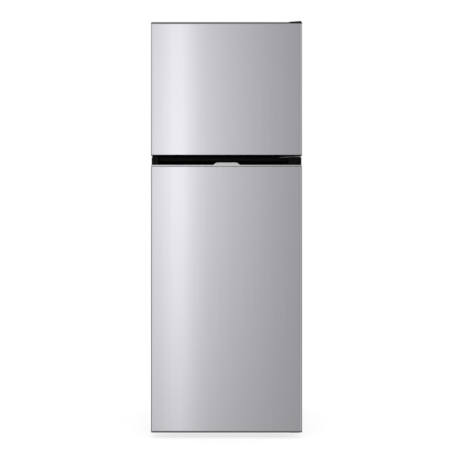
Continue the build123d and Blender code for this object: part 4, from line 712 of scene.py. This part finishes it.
def hinge_lid(low, high):
    """Lid on rings that shrink to the middle of its plan. Its height is a straight climb from the left edge,
    then level, times a straight climb to the back; near the rim it is held down along a quarter round."""
    outline = rounded_outline(low, high, COVER_RADII, 6).reshape(-1, 2)
    middle = 0.5 * (low + high)[:2]
    plan = middle + LID_SIZES[:, None, None] * (outline - middle)
    width = (plan[..., 0] - low[0]) / (high[0] - low[0])
    length = (plan[..., 1] - low[1]) / (high[1] - low[1])
    front_climb = COVER_FRONT_RIGHT - COVER_FRONT_LEFT
    front = COVER_FRONT_LEFT + front_climb * np.clip(width / COVER_LEVEL_FROM, 0, 1)
    climb = 1 + ((high[2] - low[2]) / COVER_FRONT_RIGHT - 1) * length
    height = low[2] + LID_RISES[:, None] * front * climb
    points = np.concatenate([plan, height[..., None]], axis=-1).reshape(-1, 3)
    # the last ring is one point and needs no face of its own
    return points, closed_faces(*height.shape)[:-1]


lid = hinge_lid(*corners_of("top_hinge_cover"))
add_piece("hinge_lid", lid, "cabinet", "black_plastic", "top_hinge_cover")


# Black strips on the beam and hinge flange between the compartments: painted shade, dark sheets that stand in
# for the shade deep in the gap between the doors

BEAM_SHADE_HALF = 9 * MM
BEAM_SHADE_THICKNESS = 1.0 * MM
HINGE_FLANGE_FACE = -238.5 * MM
FLANGE_SHADE_RIGHT = 240 * MM


def small_block(low, high, corner, edge):
    """Soft block with few points, for thin pieces."""
    return soft_block(low, high, corner, edge, 4, 0.5 * edge)


shell_low, shell_high = corners_of("outer_shell")
beam_low, beam_high = corners_of("centre_beam")
beam_middle = 0.5 * (beam_low[2] + beam_high[2])
strip_bottom = beam_middle - BEAM_SHADE_HALF
strip_top = beam_middle + BEAM_SHADE_HALF
strip_left = shell_low[0] + BEAM_SHADE_THICKNESS
strip_right = corners_of("middle_hinge_bracket")[0][0] - BEAM_SHADE_THICKNESS
strip_low = (strip_left, beam_low[1] - BEAM_SHADE_THICKNESS, strip_bottom)
painted_beam_shade = small_block(strip_low, (strip_right, beam_low[1], strip_top), 0.3 * MM, 0.2 * MM)
# black strip on the beam's front: painted shade for the dark gap between the doors
add_piece("beam_painted_shade", painted_beam_shade, "cabinet", "black_plastic")
# black cap over the hinge flange's front: painted shade for the same gap
painted_flange_shade_low = (strip_right, HINGE_FLANGE_FACE - BEAM_SHADE_THICKNESS, strip_bottom)
painted_flange_shade = small_block(painted_flange_shade_low, (FLANGE_SHADE_RIGHT, beam_low[1], strip_top), 0.6 * MM, 0.4 * MM)
add_piece("hinge_flange_painted_shade", painted_flange_shade, "cabinet", "black_plastic")


# Seals

# Half width of the bellows against the distance from the door
SEAL_SECTION = np.array(
    [(7.5, 0), (7.5, 1.2), (4.2, 2.4), (5.8, 4.4), (4.2, 6.2), (6.6, 7.2), (6.6, 9.7)]
) * MM
SEAL_FOLD = 0.8 * MM


def door_seal(low, high):
    """Bellows section carried round a rectangle: at each corner it lies on the mitre."""
    half = SEAL_SECTION[0, 0]
    fold = softened(SEAL_SECTION, SEAL_FOLD)
    out = np.concatenate([fold[:, 0], -fold[::-1, 0]])
    reach = np.concatenate([fold[:, 1], fold[::-1, 1]])
    depth = low[1] + reach * (high[1] - low[1]) / SEAL_SECTION[-1, 1]
    middle = np.where(CORNER_SIGNS > 0, high[[0, 2]] - half, low[[0, 2]] + half)
    plane = middle[:, None] + out[None, :, None] * CORNER_SIGNS[:, None]
    points = np.stack([plane[..., 0], np.broadcast_to(depth, plane.shape[:2]), plane[..., 1]], axis=-1)
    return points.reshape(-1, 3), grid_faces(4, len(out), wrap_rows=True, wrap_columns=True)


for door in ("freezer_door", "fridge_door"):
    seal = door + "_gasket"
    add_piece(door + "_seal", door_seal(*corners_of(seal)), door, "gasket_rubber", seal)


# Back sheet

ROOF_EDGE_RADIUS = 4 * MM
BEAD_PLACES = np.array([-245, -150, -40, 40, 150, 245]) * MM
BEAD_HALF = 7 * MM
BEAD_RISE = 1.3 * MM
BEAD_ENDS = (330 * MM, 1470 * MM)
BEAD_RAMP = 14 * MM


def back_sheet(low, high):
    """Sheet in plan lines at rising heights. The outer face rises by a squared cosine across each bead,
    faded in over a ramp at both ends; at the top the sheet narrows along the roof's round edge."""
    high = np.array([high[0], high[1], shell_high[2] - SHEET_THICKNESS])
    beads = [spot + BEAD_HALF * np.linspace(-1, 1, 13) for spot in BEAD_PLACES]
    across = np.sort(np.concatenate([[low[0], high[0]]] + beads))
    ramp = np.linspace(0, BEAD_RAMP, 7)
    turn = np.linspace(0, np.pi / 2, 7)
    corner = high[2] - ROOF_EDGE_RADIUS * (1 - np.sin(turn))
    heights = np.concatenate([[low[2]], BEAD_ENDS[0] + ramp, BEAD_ENDS[1] - ramp[::-1], corner])
    narrowing = np.concatenate([np.zeros(len(heights) - len(turn)), ROOF_EDGE_RADIUS * (1 - np.cos(turn))])
    half = (high[0] - narrowing)[:, None]
    reach = np.clip(np.minimum(heights - BEAD_ENDS[0], BEAD_ENDS[1] - heights) / BEAD_RAMP, 0, 1)
    bead = np.cos(0.5 * np.pi * np.clip(np.abs(across[:, None] - BEAD_PLACES) / BEAD_HALF, 0, 1)) ** 2
    outer_x = np.clip(across, -half, half)
    outer_y = high[1] + BEAD_RISE * (reach**2 * (3 - 2 * reach))[:, None] * bead.sum(axis=1)
    inner_x = np.concatenate([half, -half], axis=1)
    inner_y = np.full(inner_x.shape, low[1])
    x, y = np.concatenate([outer_x, inner_x], axis=1), np.concatenate([outer_y, inner_y], axis=1)
    return stacked(np.stack([x, y], axis=-1), heights)


add_piece("back_sheet", back_sheet(*corners_of("back_panel")), "cabinet", "zinc_sheet", "back_panel")


# Hinge screws

SCREW_X = 261.5 * MM  # the screw nearest the pin, the same on all three hinges
# The way a hinge's screw heads face, the other screw's X, and the depth and height of both heads
HINGE_SCREWS = (
    ("Z", 245 * MM, -193.5 * MM, 1515.5 * MM),
    ("-Y", 202.4 * MM, HINGE_FLANGE_FACE, 1023 * MM),
    ("-Z", 239 * MM, -206.7 * MM, 39 * MM),
)
screw_recess = [(0, -1.3), (1.3, -1.3), (1.7, -0.1)]
screw_head = [(3.8, 0), (4.2, -0.3), (4.2, -2)]
screw_shank = [(2.2, -2), (2.2, -11), (1.2, -12), (0, -12)]
screw_profile = np.array(screw_recess + screw_head + screw_shank) * MM
screws = [
    turned(screw_profile * (1, -1 if way.startswith("-") else 1), (x, depth, level), way[-1], 24)
    for way, other_x, depth, level in HINGE_SCREWS
    for x in (other_x, SCREW_X)
]
add_piece("hinge_screw_heads", joined(*screws), "cabinet", NODE_SLOT["hinge_screws"], "hinge_screws")


# Cooling machinery at the back

CONDENSER_RUNS = 11
CONDENSER_BEND = 17 * MM
LAST_RUN = 317.2 * MM
DRIER_TOP = 282.2 * MM
tube_low, tube_high = corners_of("condenser_tube")
tube_radius = 0.5 * (tube_high[1] - tube_low[1])
tube_y = 0.5 * (tube_high[1] + tube_low[1])
tube_right = tube_high[0] - tube_radius
tube_top = tube_high[2] - tube_radius
riser_x = tube_low[0] + tube_radius
run_heights = np.linspace(tube_top, LAST_RUN, CONDENSER_RUNS)
run_ends = np.where(np.arange(2 * CONDENSER_RUNS - 1) % 4 < 2, tube_right, -tube_right)
run_corners = np.column_stack([run_ends, np.full(len(run_ends), tube_y), np.repeat(run_heights, 2)[1:]])
riser = [(riser_x, tube_y, tube_low[2]), (riser_x, tube_y, tube_top)]
outlet = [(tube_right, tube_y, DRIER_TOP)]
serpentine = bent_path(np.concatenate([riser, run_corners, outlet]), CONDENSER_BEND)
coil = round_tube(serpentine, tube_radius, 14)
add_piece("condenser_coil", coil, "cabinet", "black_metal", "condenser_tube", smooth=60)

WIRE_COUNT = 18
wire_low, wire_high = corners_of("condenser_wires")
wire_radius = 0.5 * (wire_high[1] - wire_low[1])
wire_y = 0.5 * (wire_high[1] + wire_low[1])
wire_x = np.linspace(wire_low[0] + wire_radius, wire_high[0] - wire_radius, WIRE_COUNT)
wire_ends = [np.array([(x, wire_y, wire_low[2]), (x, wire_y, wire_high[2])]) for x in wire_x]
wires = joined(*[round_tube(ends, wire_radius, 10) for ends in wire_ends])
add_piece("condenser_rods", wires, "cabinet", "black_metal", "condenser_wires", smooth=60)

COMPRESSOR_X = 60 * MM
COMPRESSOR_Y = 179.5 * MM
COMPRESSOR_BASE = 57.2 * MM
COMPRESSOR_RADIUS = 70 * MM
COMPRESSOR_RIM = 76 * MM
RIM_HALF = 3 * MM
RIM_LAP = 3.6 * MM
COMPRESSOR_SEAM = 132.2 * MM
COMPRESSOR_TOP = 207.2 * MM
COMPRESSOR_DOME = 34 * MM
COMPRESSOR_BENDS = 2 * MM


def compressor_shell():
    """Two drawn half shells turned about Z: round foot, lapped weld rim and a dome with a quarter-round
    shoulder."""
    wall, rim, seam = COMPRESSOR_RADIUS, COMPRESSOR_RIM, COMPRESSOR_SEAM
    foot = [(0, COMPRESSOR_BASE), (wall, COMPRESSOR_BASE), (wall, seam - 2 * RIM_HALF)]
    weld = [(rim, seam - RIM_HALF), (rim, seam + RIM_HALF), (wall, seam + RIM_LAP)]
    neck = [(wall, COMPRESSOR_TOP - COMPRESSOR_DOME - GUARD)]
    turn = np.linspace(0, np.pi / 2, 13)
    radius = wall - COMPRESSOR_DOME * (1 - np.cos(turn))
    height = COMPRESSOR_TOP - COMPRESSOR_DOME * (1 - np.sin(turn))
    dome = np.concatenate([np.column_stack([radius, height]), [(0, COMPRESSOR_TOP)]])
    profile = np.concatenate([softened(foot + weld + neck, COMPRESSOR_BENDS), dome])
    return turned(profile, (COMPRESSOR_X, COMPRESSOR_Y, 0), "Z", 72)


add_piece("compressor_shell", compressor_shell(), "cabinet", "black_metal", "compressor")

MOUNT_X = 62 * MM
MOUNT_Y = 37.2 * MM
MOUNT_RADIUS = 10 * MM
FOOT_PLATE = 3 * MM
BASE_TOP = 43.2 * MM
plate_low = (COMPRESSOR_X - MOUNT_X - MOUNT_RADIUS, COMPRESSOR_Y - MOUNT_Y - MOUNT_RADIUS, COMPRESSOR_BASE)
plate_top = COMPRESSOR_BASE + FOOT_PLATE
plate_high = (COMPRESSOR_X + MOUNT_X + MOUNT_RADIUS, COMPRESSOR_Y + MOUNT_Y + MOUNT_RADIUS, plate_top)
foot_plate = soft_block(plate_low, plate_high, MOUNT_RADIUS, 0.8 * MM, guard=0.3 * MM)
add_piece("compressor_plate", foot_plate, "cabinet", "black_metal")

STUB_RADIUS = 4.5 * MM
STUB_ROOT = 0.9 * COMPRESSOR_RADIUS
STUB_REACH = 82 * MM
PIPE_RADIUS = 3 * MM
CAPILLARY_RADIUS = 1.5 * MM
PIPE_BEND = 12 * MM
SUCTION_Z = 156.2 * MM
DISCHARGE_Z = 108.2 * MM
BAY_TOP = 247.2 * MM
stub_out = (STUB_ROOT, STUB_REACH)
suction_stub = np.array([(COMPRESSOR_X + out, COMPRESSOR_Y, SUCTION_Z) for out in stub_out])
discharge_stub = np.array([(COMPRESSOR_X, COMPRESSOR_Y + out, DISCHARGE_Z) for out in stub_out])
stubs = joined(*[round_tube(stub, STUB_RADIUS, 20) for stub in (suction_stub, discharge_stub)])
add_piece("compressor_stubs", stubs, "cabinet", "black_metal")

PAD_HALF = 30 * MM
PAD_HEIGHT = 39 * MM
PAD_ROOT = 0.8 * COMPRESSOR_RADIUS
pad_top = COMPRESSOR_SEAM - 2 * RIM_HALF
pad_low = (COMPRESSOR_X - COMPRESSOR_RIM, COMPRESSOR_Y - PAD_HALF, pad_top - PAD_HEIGHT)
pad_high = (COMPRESSOR_X - PAD_ROOT, COMPRESSOR_Y + PAD_HALF, pad_top)
terminal_pad = soft_block(pad_low, pad_high, 3 * MM, 1.5 * MM)
add_piece("compressor_terminal_pad", terminal_pad, "cabinet", "black_metal")

mount_half = [(0, 0), (10, 0), (10, 4), (7, 5.5)]
mount_profile = softened(mount_half + [(7, 8.5), (10, 10), (10, 14), (0, 14)], 1.2) * MM
mount_spots = [
    (COMPRESSOR_X + side * MOUNT_X, COMPRESSOR_Y + flank * MOUNT_Y) for side in (-1, 1) for flank in (-1, 1)
]
mounts = joined(*[turned(mount_profile, (x, y, BASE_TOP), "Z", 32) for x, y in mount_spots])
add_piece("compressor_bobbins", mounts, "cabinet", "mount_rubber", "compressor_mounts")
bolt_profile = np.array([(0, 0), (8, 0), (8, 1), (6, 1), (6, 4.2), (5.2, 5), (0, 5)]) * MM
bolts = joined(*[turned(bolt_profile, (x, y, plate_top), "Z", 6) for x, y in mount_spots])
add_piece("compressor_mount_bolts", bolts, "cabinet", "zinc_sheet", smooth=20)

DRIER_BOTTOM = 192.2 * MM
CAPILLARY_Y = 137 * MM
suction_x = suction_stub[1][0] + 3 * PIPE_BEND
suction_pipe = [suction_stub[1], (suction_x, COMPRESSOR_Y, SUCTION_Z), (suction_x, COMPRESSOR_Y, BAY_TOP)]
discharge_pipe = [
    discharge_stub[1],
    (COMPRESSOR_X, tube_y, DISCHARGE_Z),
    (riser_x, tube_y, DISCHARGE_Z),
    (riser_x, tube_y, BAY_TOP),
]
capillary = [
    (tube_right, tube_y, DRIER_BOTTOM),
    (tube_right, tube_y, SUCTION_Z),
    (tube_right, CAPILLARY_Y, SUCTION_Z),
    (tube_right, CAPILLARY_Y, BAY_TOP),
]
pipes = joined(
    round_tube(bent_path(suction_pipe, PIPE_BEND), PIPE_RADIUS, 16),
    round_tube(bent_path(discharge_pipe, PIPE_BEND), PIPE_RADIUS, 16),
    round_tube(bent_path(capillary, PIPE_BEND), CAPILLARY_RADIUS, 12),
)
add_piece("cooling_pipes", pipes, "cabinet", "copper", "refrigerant_pipes", smooth=60)

drier_end = np.array([(0, 0), (3.2, 0), (5, 3), (9, 9)]) * MM
drier_top_end = (drier_end * (1, -1) + (0, DRIER_TOP))[::-1]
drier_profile = softened(np.concatenate([drier_end + (0, DRIER_BOTTOM), drier_top_end]), 4 * MM)
drier = turned(drier_profile, (tube_right, tube_y, 0), "Z", 32)
add_piece("drier_bulb", drier, "cabinet", "copper", "filter_drier")


# Feet and rollers

PAD_RISE = 9 * MM
HEXAGON_RISE = 12 * MM
STUD_RADIUS = 5 * MM
THREAD_PITCH = 1.5 * MM
THREAD_DEPTH = 0.6 * MM
PAD_RIDGES = 18
PAD_RIDGE_SHARE = 0.02
ROLLER_HUB = (0.42, 0.46)  # shares of the radius between which the hub falls to the hollow
ROLLER_TREAD = (0.74, 0.8)  # and between which the hollow rises to the tread
ROLLER_HOLLOW = 2 * MM
ROLLER_EDGE = 1 * MM
GROOVE_HALF = 0.12  # share of half the roller's width
GROOVE_FLOOR = 0.95  # share of the radius


def ridges(count, share):
    """Ripple of so many round ridges, each as deep as twice a share of the radius."""
    return lambda turn: 1 - share * (1 + np.cos(count * turn))


def threaded_stud(centre, bottom, top):
    """Rod whose radius is a triangle wave of height less one pitch for each turn: a screw thread."""
    steps = 24
    level = np.arange(bottom, top, THREAD_PITCH / 6)
    turn = np.linspace(0, 2 * np.pi, steps, endpoint=False)
    phase = (level[:, None] / THREAD_PITCH - turn[None, :] / (2 * np.pi)) % 1
    reach = STUD_RADIUS - THREAD_DEPTH * np.abs(2 * phase - 1)
    x = centre[0] + reach * np.cos(turn)
    y = centre[1] + reach * np.sin(turn)
    points = np.stack([x, y, np.repeat(level[:, None], steps, axis=1)], axis=-1)
    return points.reshape(-1, 3), closed_faces(*reach.shape)


pad_profile = softened([(0, 0), (18.5, 0), (20, 2), (20, 6), (17, 9), (0, 9)], 1.5) * MM
hexagon_profile = np.array([(0, 8.5), (10.8, 8.5), (12, 9.4), (12, 20), (10.8, 21), (0, 21)]) * MM
for hand in ("left", "right"):
    node = "front_foot_" + hand
    foot_low, foot_high = corners_of(node)
    spot = 0.5 * (foot_low + foot_high)
    spot[2] = 0
    pad = turned(pad_profile, spot, "Z", 72, ridges(PAD_RIDGES, PAD_RIDGE_SHARE))
    hexagon = turned(hexagon_profile, spot, "Z", 6)
    stud = threaded_stud(spot, PAD_RISE + 0.5 * HEXAGON_RISE, foot_high[2])
    add_piece("levelling_foot_" + hand, joined(pad, hexagon, stud), body_of(node), "nylon", node, smooth=30)

    node = "rear_roller_" + hand
    roller_low, roller_high = corners_of(node)
    spot = 0.5 * (roller_low + roller_high)
    half = roller_high[0] - spot[0]
    radius = roller_high[2] - spot[2]
    hub = [(0, -half), (ROLLER_HUB[0] * radius, -half)]
    hollow = [(share * radius, -half + ROLLER_HOLLOW) for share in (ROLLER_HUB[1], ROLLER_TREAD[0])]
    tread = [(ROLLER_TREAD[1] * radius, -half), (radius, -half), (radius, -GROOVE_HALF * half)]
    face = softened(hub + hollow + tread + [(GROOVE_FLOOR * radius, 0)], ROLLER_EDGE)
    wheel = np.concatenate([face, (face * (1, -1))[::-1]])
    add_piece("roller_wheel_" + hand, turned(wheel, spot, "X", 64), body_of(node), "nylon", node)


# Inside: bins, drawer, shelves and control unit

BIN_WALL = 2 * MM
BIN_EDGE = 5 * MM
BIN_CORNER = 22 * MM
BIN_DOOR_CORNER = 3 * MM
BIN_RADII = (BIN_CORNER, BIN_CORNER, BIN_DOOR_CORNER, BIN_DOOR_CORNER)
for node in ("freezer_bin_lower", "freezer_bin_upper", "bottle_bin", "middle_bin", "upper_bin"):
    shape = open_tray(*corners_of(node), BIN_RADII, BIN_WALL, BIN_EDGE, 10)
    add_piece(node + "_tray", shape, body_of(node), "clear_plastic", node, smooth=50)

# Radius of the edges of pieces in millimetres
SHARP_FORMS = {
    "crisper_drawer": 0.8, "lamp_lens": 0.8, "switch_plunger": 0.5, "freezer_shelf_glass": 0.8,
    "fridge_shelf_glass": 0.8, "freezer_shelf_trims": 0.6, "fridge_shelf_trims": 0.6, "relay_cover": 0.8,
    "roller_axles": 0.4, "rear_spacers": 0.8, "machine_bay_plate": 0.3,
}
ROUND_FORMS = {
    "control_housing": 0.8, "drain_tray": 0.8, "base_pan": 0.4, "top_hinge_bracket": 0.3,
    "middle_hinge_bracket": 0.3, "bottom_hinge_bracket": 0.3,
}
for node, edge in SHARP_FORMS.items():
    moulded(node, edge * MM)
for node, edge in ROUND_FORMS.items():
    moulded(node, edge * MM, smooth=50)
for node in ("freezer_liner", "fridge_liner", "freezer_door_liner", "fridge_door_liner"):
    moulded(node, smooth=50)
moulded("outer_shell")

KNOB_RIDGES = 30
KNOB_RIDGE_SHARE = 0.012
KNOB_RADIUS = 17 * MM
KNOB_SKIRT = 6.5 * MM
KNOB_EDGE = 1 * MM
KNOB_SLOPE = 3 * MM
KNOB_SHAFT = 14 * MM
SHAFT_RADIUS = 4 * MM
BAR_HALF_LENGTH = 15 * MM
BAR_HALF_WIDTH = 4.25 * MM
BAR_CORNER = 3.6 * MM
BAR_EDGE = 1.2 * MM
knob_low, knob_high = corners_of("thermostat_knob")
knob_x = 0.5 * (knob_low[0] + knob_high[0])
knob_z = 0.5 * (knob_low[2] + knob_high[2])
knob_back = knob_high[1] - KNOB_SHAFT
knob_front = knob_back - KNOB_SKIRT
skirt_back = [(0, knob_back), (KNOB_RADIUS, knob_back), (KNOB_RADIUS, knob_front + KNOB_EDGE)]
skirt_front = [(KNOB_RADIUS - KNOB_SLOPE, knob_front), (0, knob_front)]
skirt = softened(skirt_back + skirt_front, KNOB_EDGE)
dial = turned(skirt, (knob_x, 0, knob_z), "Y", 180, ridges(KNOB_RIDGES, KNOB_RIDGE_SHARE))
shaft_ends = np.array([(knob_x, y, knob_z) for y in (knob_back - KNOB_EDGE, knob_high[1])])
bar_low = (-BAR_HALF_WIDTH, -BAR_HALF_LENGTH, 0)
bar_high = (BAR_HALF_WIDTH, BAR_HALF_LENGTH, knob_back - knob_low[1])
bar_points, bar_faces = soft_block(bar_low, bar_high, BAR_CORNER, BAR_EDGE, guard=0.3 * MM)
across, along, out = bar_points.T
bar = (np.column_stack([knob_x + across, knob_back - out, knob_z + along]), bar_faces)
knob = joined(dial, round_tube(shaft_ends, SHAFT_RADIUS, 24), bar)
add_piece("thermostat_dial", knob, "knob", "control_plastic", "thermostat_knob")

MARK_COUNT = 7
MARK_SWEEP = 1.5 * np.pi
FIRST_MARK = np.pi / 2
MARK_HALF_WIDTH = 0.5 * MM
MARK_REACH = (18.4 * MM, 20.8 * MM)
MARK_HEIGHT = 0.6 * MM
MARK_SINK = 0.4 * MM  # part of a mark's height that lies in the plastic
POINTER_REACH = (8 * MM, 13.5 * MM)


def dial_mark(turn, reach, face):
    """Short bar that points away from the knob's axis at an angle, sunk a little into a face."""
    low = (reach[0], -MARK_HALF_WIDTH, 0)
    high = (reach[1], MARK_HALF_WIDTH, MARK_HEIGHT)
    points, faces = small_block(low, high, 0.3 * MM, 0.1 * MM)
    out, side, rise = points.T
    x = knob_x + out * np.cos(turn) - side * np.sin(turn)
    z = knob_z + out * np.sin(turn) + side * np.cos(turn)
    return np.column_stack([x, face + MARK_SINK - rise, z]), faces


unit_front = corners_of("control_housing")[0][1]
mark_turns = FIRST_MARK + np.linspace(0, MARK_SWEEP, MARK_COUNT)
marks = joined(*[dial_mark(turn, MARK_REACH, unit_front) for turn in mark_turns])
add_piece("dial_marks", marks, "cabinet", "black_plastic")
add_piece("dial_pointer", dial_mark(FIRST_MARK, POINTER_REACH, knob_low[1]), "knob", "black_plastic")


# Floor, light and camera

FLOOR_TONE = 0.3
FLOOR_LIFT = 0.75
FLOOR_REACH = 3.0


def chosen(tree, factor, first, second, output):
    """Ends a tree with the first shader where a factor is 0 and the second where it is 1."""
    choice = tree.nodes.new("ShaderNodeMixShader")
    for socket, source in zip(choice.inputs, (factor, first, second)):
        feed(tree, socket, source)
    add_node(tree, output, Surface=choice.outputs["Shader"])


def studio_floor():
    """Pale floor that takes the shadow. Camera and transmission rays see it lifted to white, and glossy rays
    pass through it, so that the doors mirror the studio down to their lower edge."""
    material = bpy.data.materials.new("studio_floor")
    material.use_nodes = True
    tree = material.node_tree
    tree.nodes.clear()
    worked = node_maths(tree)
    ray = add_node(tree, "ShaderNodeLightPath").outputs
    seen = worked("MAXIMUM", ray["Is Camera Ray"], ray["Is Transmission Ray"])
    diffuse = add_node(tree, "ShaderNodeBsdfDiffuse", Color=(FLOOR_TONE, FLOOR_TONE, FLOOR_TONE, 1.0))
    lift = add_node(tree, "ShaderNodeEmission", Strength=worked("MULTIPLY", seen, FLOOR_LIFT))
    both = add_node(tree, "ShaderNodeAddShader")
    feed(tree, both.inputs[0], diffuse.outputs["BSDF"])
    feed(tree, both.inputs[1], lift.outputs["Emission"])
    clear = add_node(tree, "ShaderNodeBsdfTransparent").outputs["BSDF"]
    chosen(tree, ray["Is Glossy Ray"], both.outputs["Shader"], clear, "ShaderNodeOutputMaterial")
    return material


floor_mesh = bpy.data.meshes.new("studio_floor")
floor_corners = np.column_stack([FLOOR_REACH * CORNER_SIGNS, np.zeros(4)])
floor_mesh.from_pydata(floor_corners.tolist(), [], [(0, 1, 2, 3)])
floor_mesh.materials.append(studio_floor())
floor = bpy.data.objects.new("studio_floor", floor_mesh)
bpy.context.scene.collection.objects.link(floor)

# Slopes of a ray to the side between which a card fades in, first at its right and then at its left
CARD_RIGHT = (0.156, -0.25)
CARD_LEFT = (-0.22, -0.03)
CARD_TONE = 1.01
SIDE_CARD_RIGHT = (-0.09, -0.24)
SIDE_CARD_LEFT = (-1.6, -0.8)
SIDE_CARD_TONE = 0.55
CARD_MIDDLE = 0.1  # slope up from the camera's level
CARD_REACH = 0.74
CARD_FRONT = (-0.5, -0.8)  # how far to the front a ray points where the cards' light fades in
STRIP_SLOPE = -0.053
STRIP_SPREAD = 0.017
STRIP_TONE = 0.71
WING_START = (0.4, 0.7)  # how far to the side a ray points where the studio darkens
WING_FRONT = (-0.45, -0.15)  # and how far to the back
WING_SHADE = 0.85
WING_RISE = (0.5, -0.3)  # slope up where the shade is half, and down where it is whole
# Tones of the studio's walls, from the front to the back
WALL_TONES = ((0.0, 0.345), (0.06, 0.345), (0.24, 0.85), (0.42, 0.7), (0.6, 0.9), (1.0, 1.0))
LEAST_NEARNESS = 0.01


def studio_world():
    """White to the camera and through glass. Other rays see a studio, white behind and grey in front.

    In front hangs a pale card with soft edges and a bright strip on it, and a second card hangs to its left:
    their light is a smooth function of the slope of a ray to the side and upwards.
    """
    world = bpy.data.worlds.new("studio")
    bpy.context.scene.world = world
    world.use_nodes = True
    tree = world.node_tree
    tree.nodes.clear()
    worked = node_maths(tree)

    def faded(value, start, stop):
        node = add_node(tree, "ShaderNodeMapRange", Value=value, From_Min=start, From_Max=stop)
        node.interpolation_type = "SMOOTHSTEP"
        return node.outputs["Result"]

    def times(first, second):
        return worked("MULTIPLY", first, second)

    def near(value, middle, reach):
        return faded(worked("ABSOLUTE", worked("SUBTRACT", value, middle)), reach, 0.0)

    ray = add_node(tree, "ShaderNodeLightPath").outputs
    sight = add_node(tree, "ShaderNodeTexCoord").outputs["Generated"]
    direction = add_node(tree, "ShaderNodeSeparateXYZ", Vector=sight)
    across, depth, up = (direction.outputs[axis] for axis in "XYZ")
    nearness = worked("MAXIMUM", times(depth, -1.0), LEAST_NEARNESS)
    side_slope = worked("DIVIDE", across, nearness)
    rise_slope = worked("DIVIDE", up, nearness)
    card = times(faded(side_slope, *CARD_RIGHT), faded(side_slope, *CARD_LEFT))
    side_card = times(faded(side_slope, *SIDE_CARD_RIGHT), faded(side_slope, *SIDE_CARD_LEFT))
    strip = near(side_slope, STRIP_SLOPE, STRIP_SPREAD)
    height = near(rise_slope, CARD_MIDDLE, CARD_REACH)
    glow = worked("ADD", times(card, CARD_TONE), times(strip, STRIP_TONE))
    glow = worked("ADD", glow, times(side_card, SIDE_CARD_TONE))
    glow = times(times(glow, height), faded(depth, *CARD_FRONT))

    backness = worked("ADD", times(depth, 0.5), 0.5)
    walls = add_node(tree, "ShaderNodeValToRGB", Fac=backness)
    steps = walls.color_ramp.elements
    for position, _ in WALL_TONES[1:-1]:
        steps.new(position)
    for step, (_, tone) in zip(steps, WALL_TONES):
        step.color = (tone, tone, tone, 1.0)
    wing = times(faded(worked("ABSOLUTE", across), *WING_START), faded(depth, *WING_FRONT))
    lowness = worked("ADD", times(faded(up, *WING_RISE), 0.5), 0.5)
    wing = times(times(wing, lowness), WING_SHADE)
    wing = times(wing, ray["Is Glossy Ray"])
    wall_tone = times(walls.outputs["Color"], worked("SUBTRACT", 1.0, wing))
    studio = add_node(tree, "ShaderNodeBackground", Color=worked("ADD", wall_tone, glow))
    white = add_node(tree, "ShaderNodeBackground", Color=(1.0, 1.0, 1.0, 1.0))
    seen = worked("MAXIMUM", ray["Is Camera Ray"], ray["Is Transmission Ray"])
    chosen(tree, seen, studio.outputs["Background"], white.outputs["Background"], "ShaderNodeOutputWorld")


studio_world()


def soft_light(name, place, aim, size, power):
    """Rectangular lamp at a place, turned to face a point."""
    lamp = bpy.data.lights.new(name, "AREA")
    lamp.shape = "RECTANGLE"
    lamp.size, lamp.size_y = size
    lamp.energy = power
    holder = bpy.data.objects.new(name, lamp)
    bpy.context.scene.collection.objects.link(holder)
    holder.location = place
    sight = Vector(aim) - Vector(place)
    holder.rotation_euler = sight.to_track_quat("-Z", "Y").to_euler()
    holder.visible_camera = False
    return holder


DOOR_FACE = float(cad_low[1])
CAMERA_PLACE = (-5.66 * MM, DOOR_FACE - 3.2, 0.7735)
CAMERA_LENS = 70.56
soft_light("top_front", place=(0.0, DOOR_FACE - 1.6, 3.4), aim=(0.0, 0.0, 0.6), size=(2.4, 1.6), power=22.0)
for side in (-1, 1):
    fill = soft_light("fill", place=(3.0 * side, 0.0, 1.6), aim=(0.0, 0.0, 0.8), size=(2.0, 2.0), power=16.0)
    fill.visible_glossy = False

camera_data = bpy.data.cameras.new("camera")
camera_data.lens = CAMERA_LENS
camera = bpy.data.objects.new("camera", camera_data)
bpy.context.scene.collection.objects.link(camera)
camera.location = CAMERA_PLACE
camera.rotation_euler = (math.pi / 2, 0.0, 0.0)
bpy.context.scene.camera = camera
bpy.context.scene.view_settings.view_transform = "Standard"
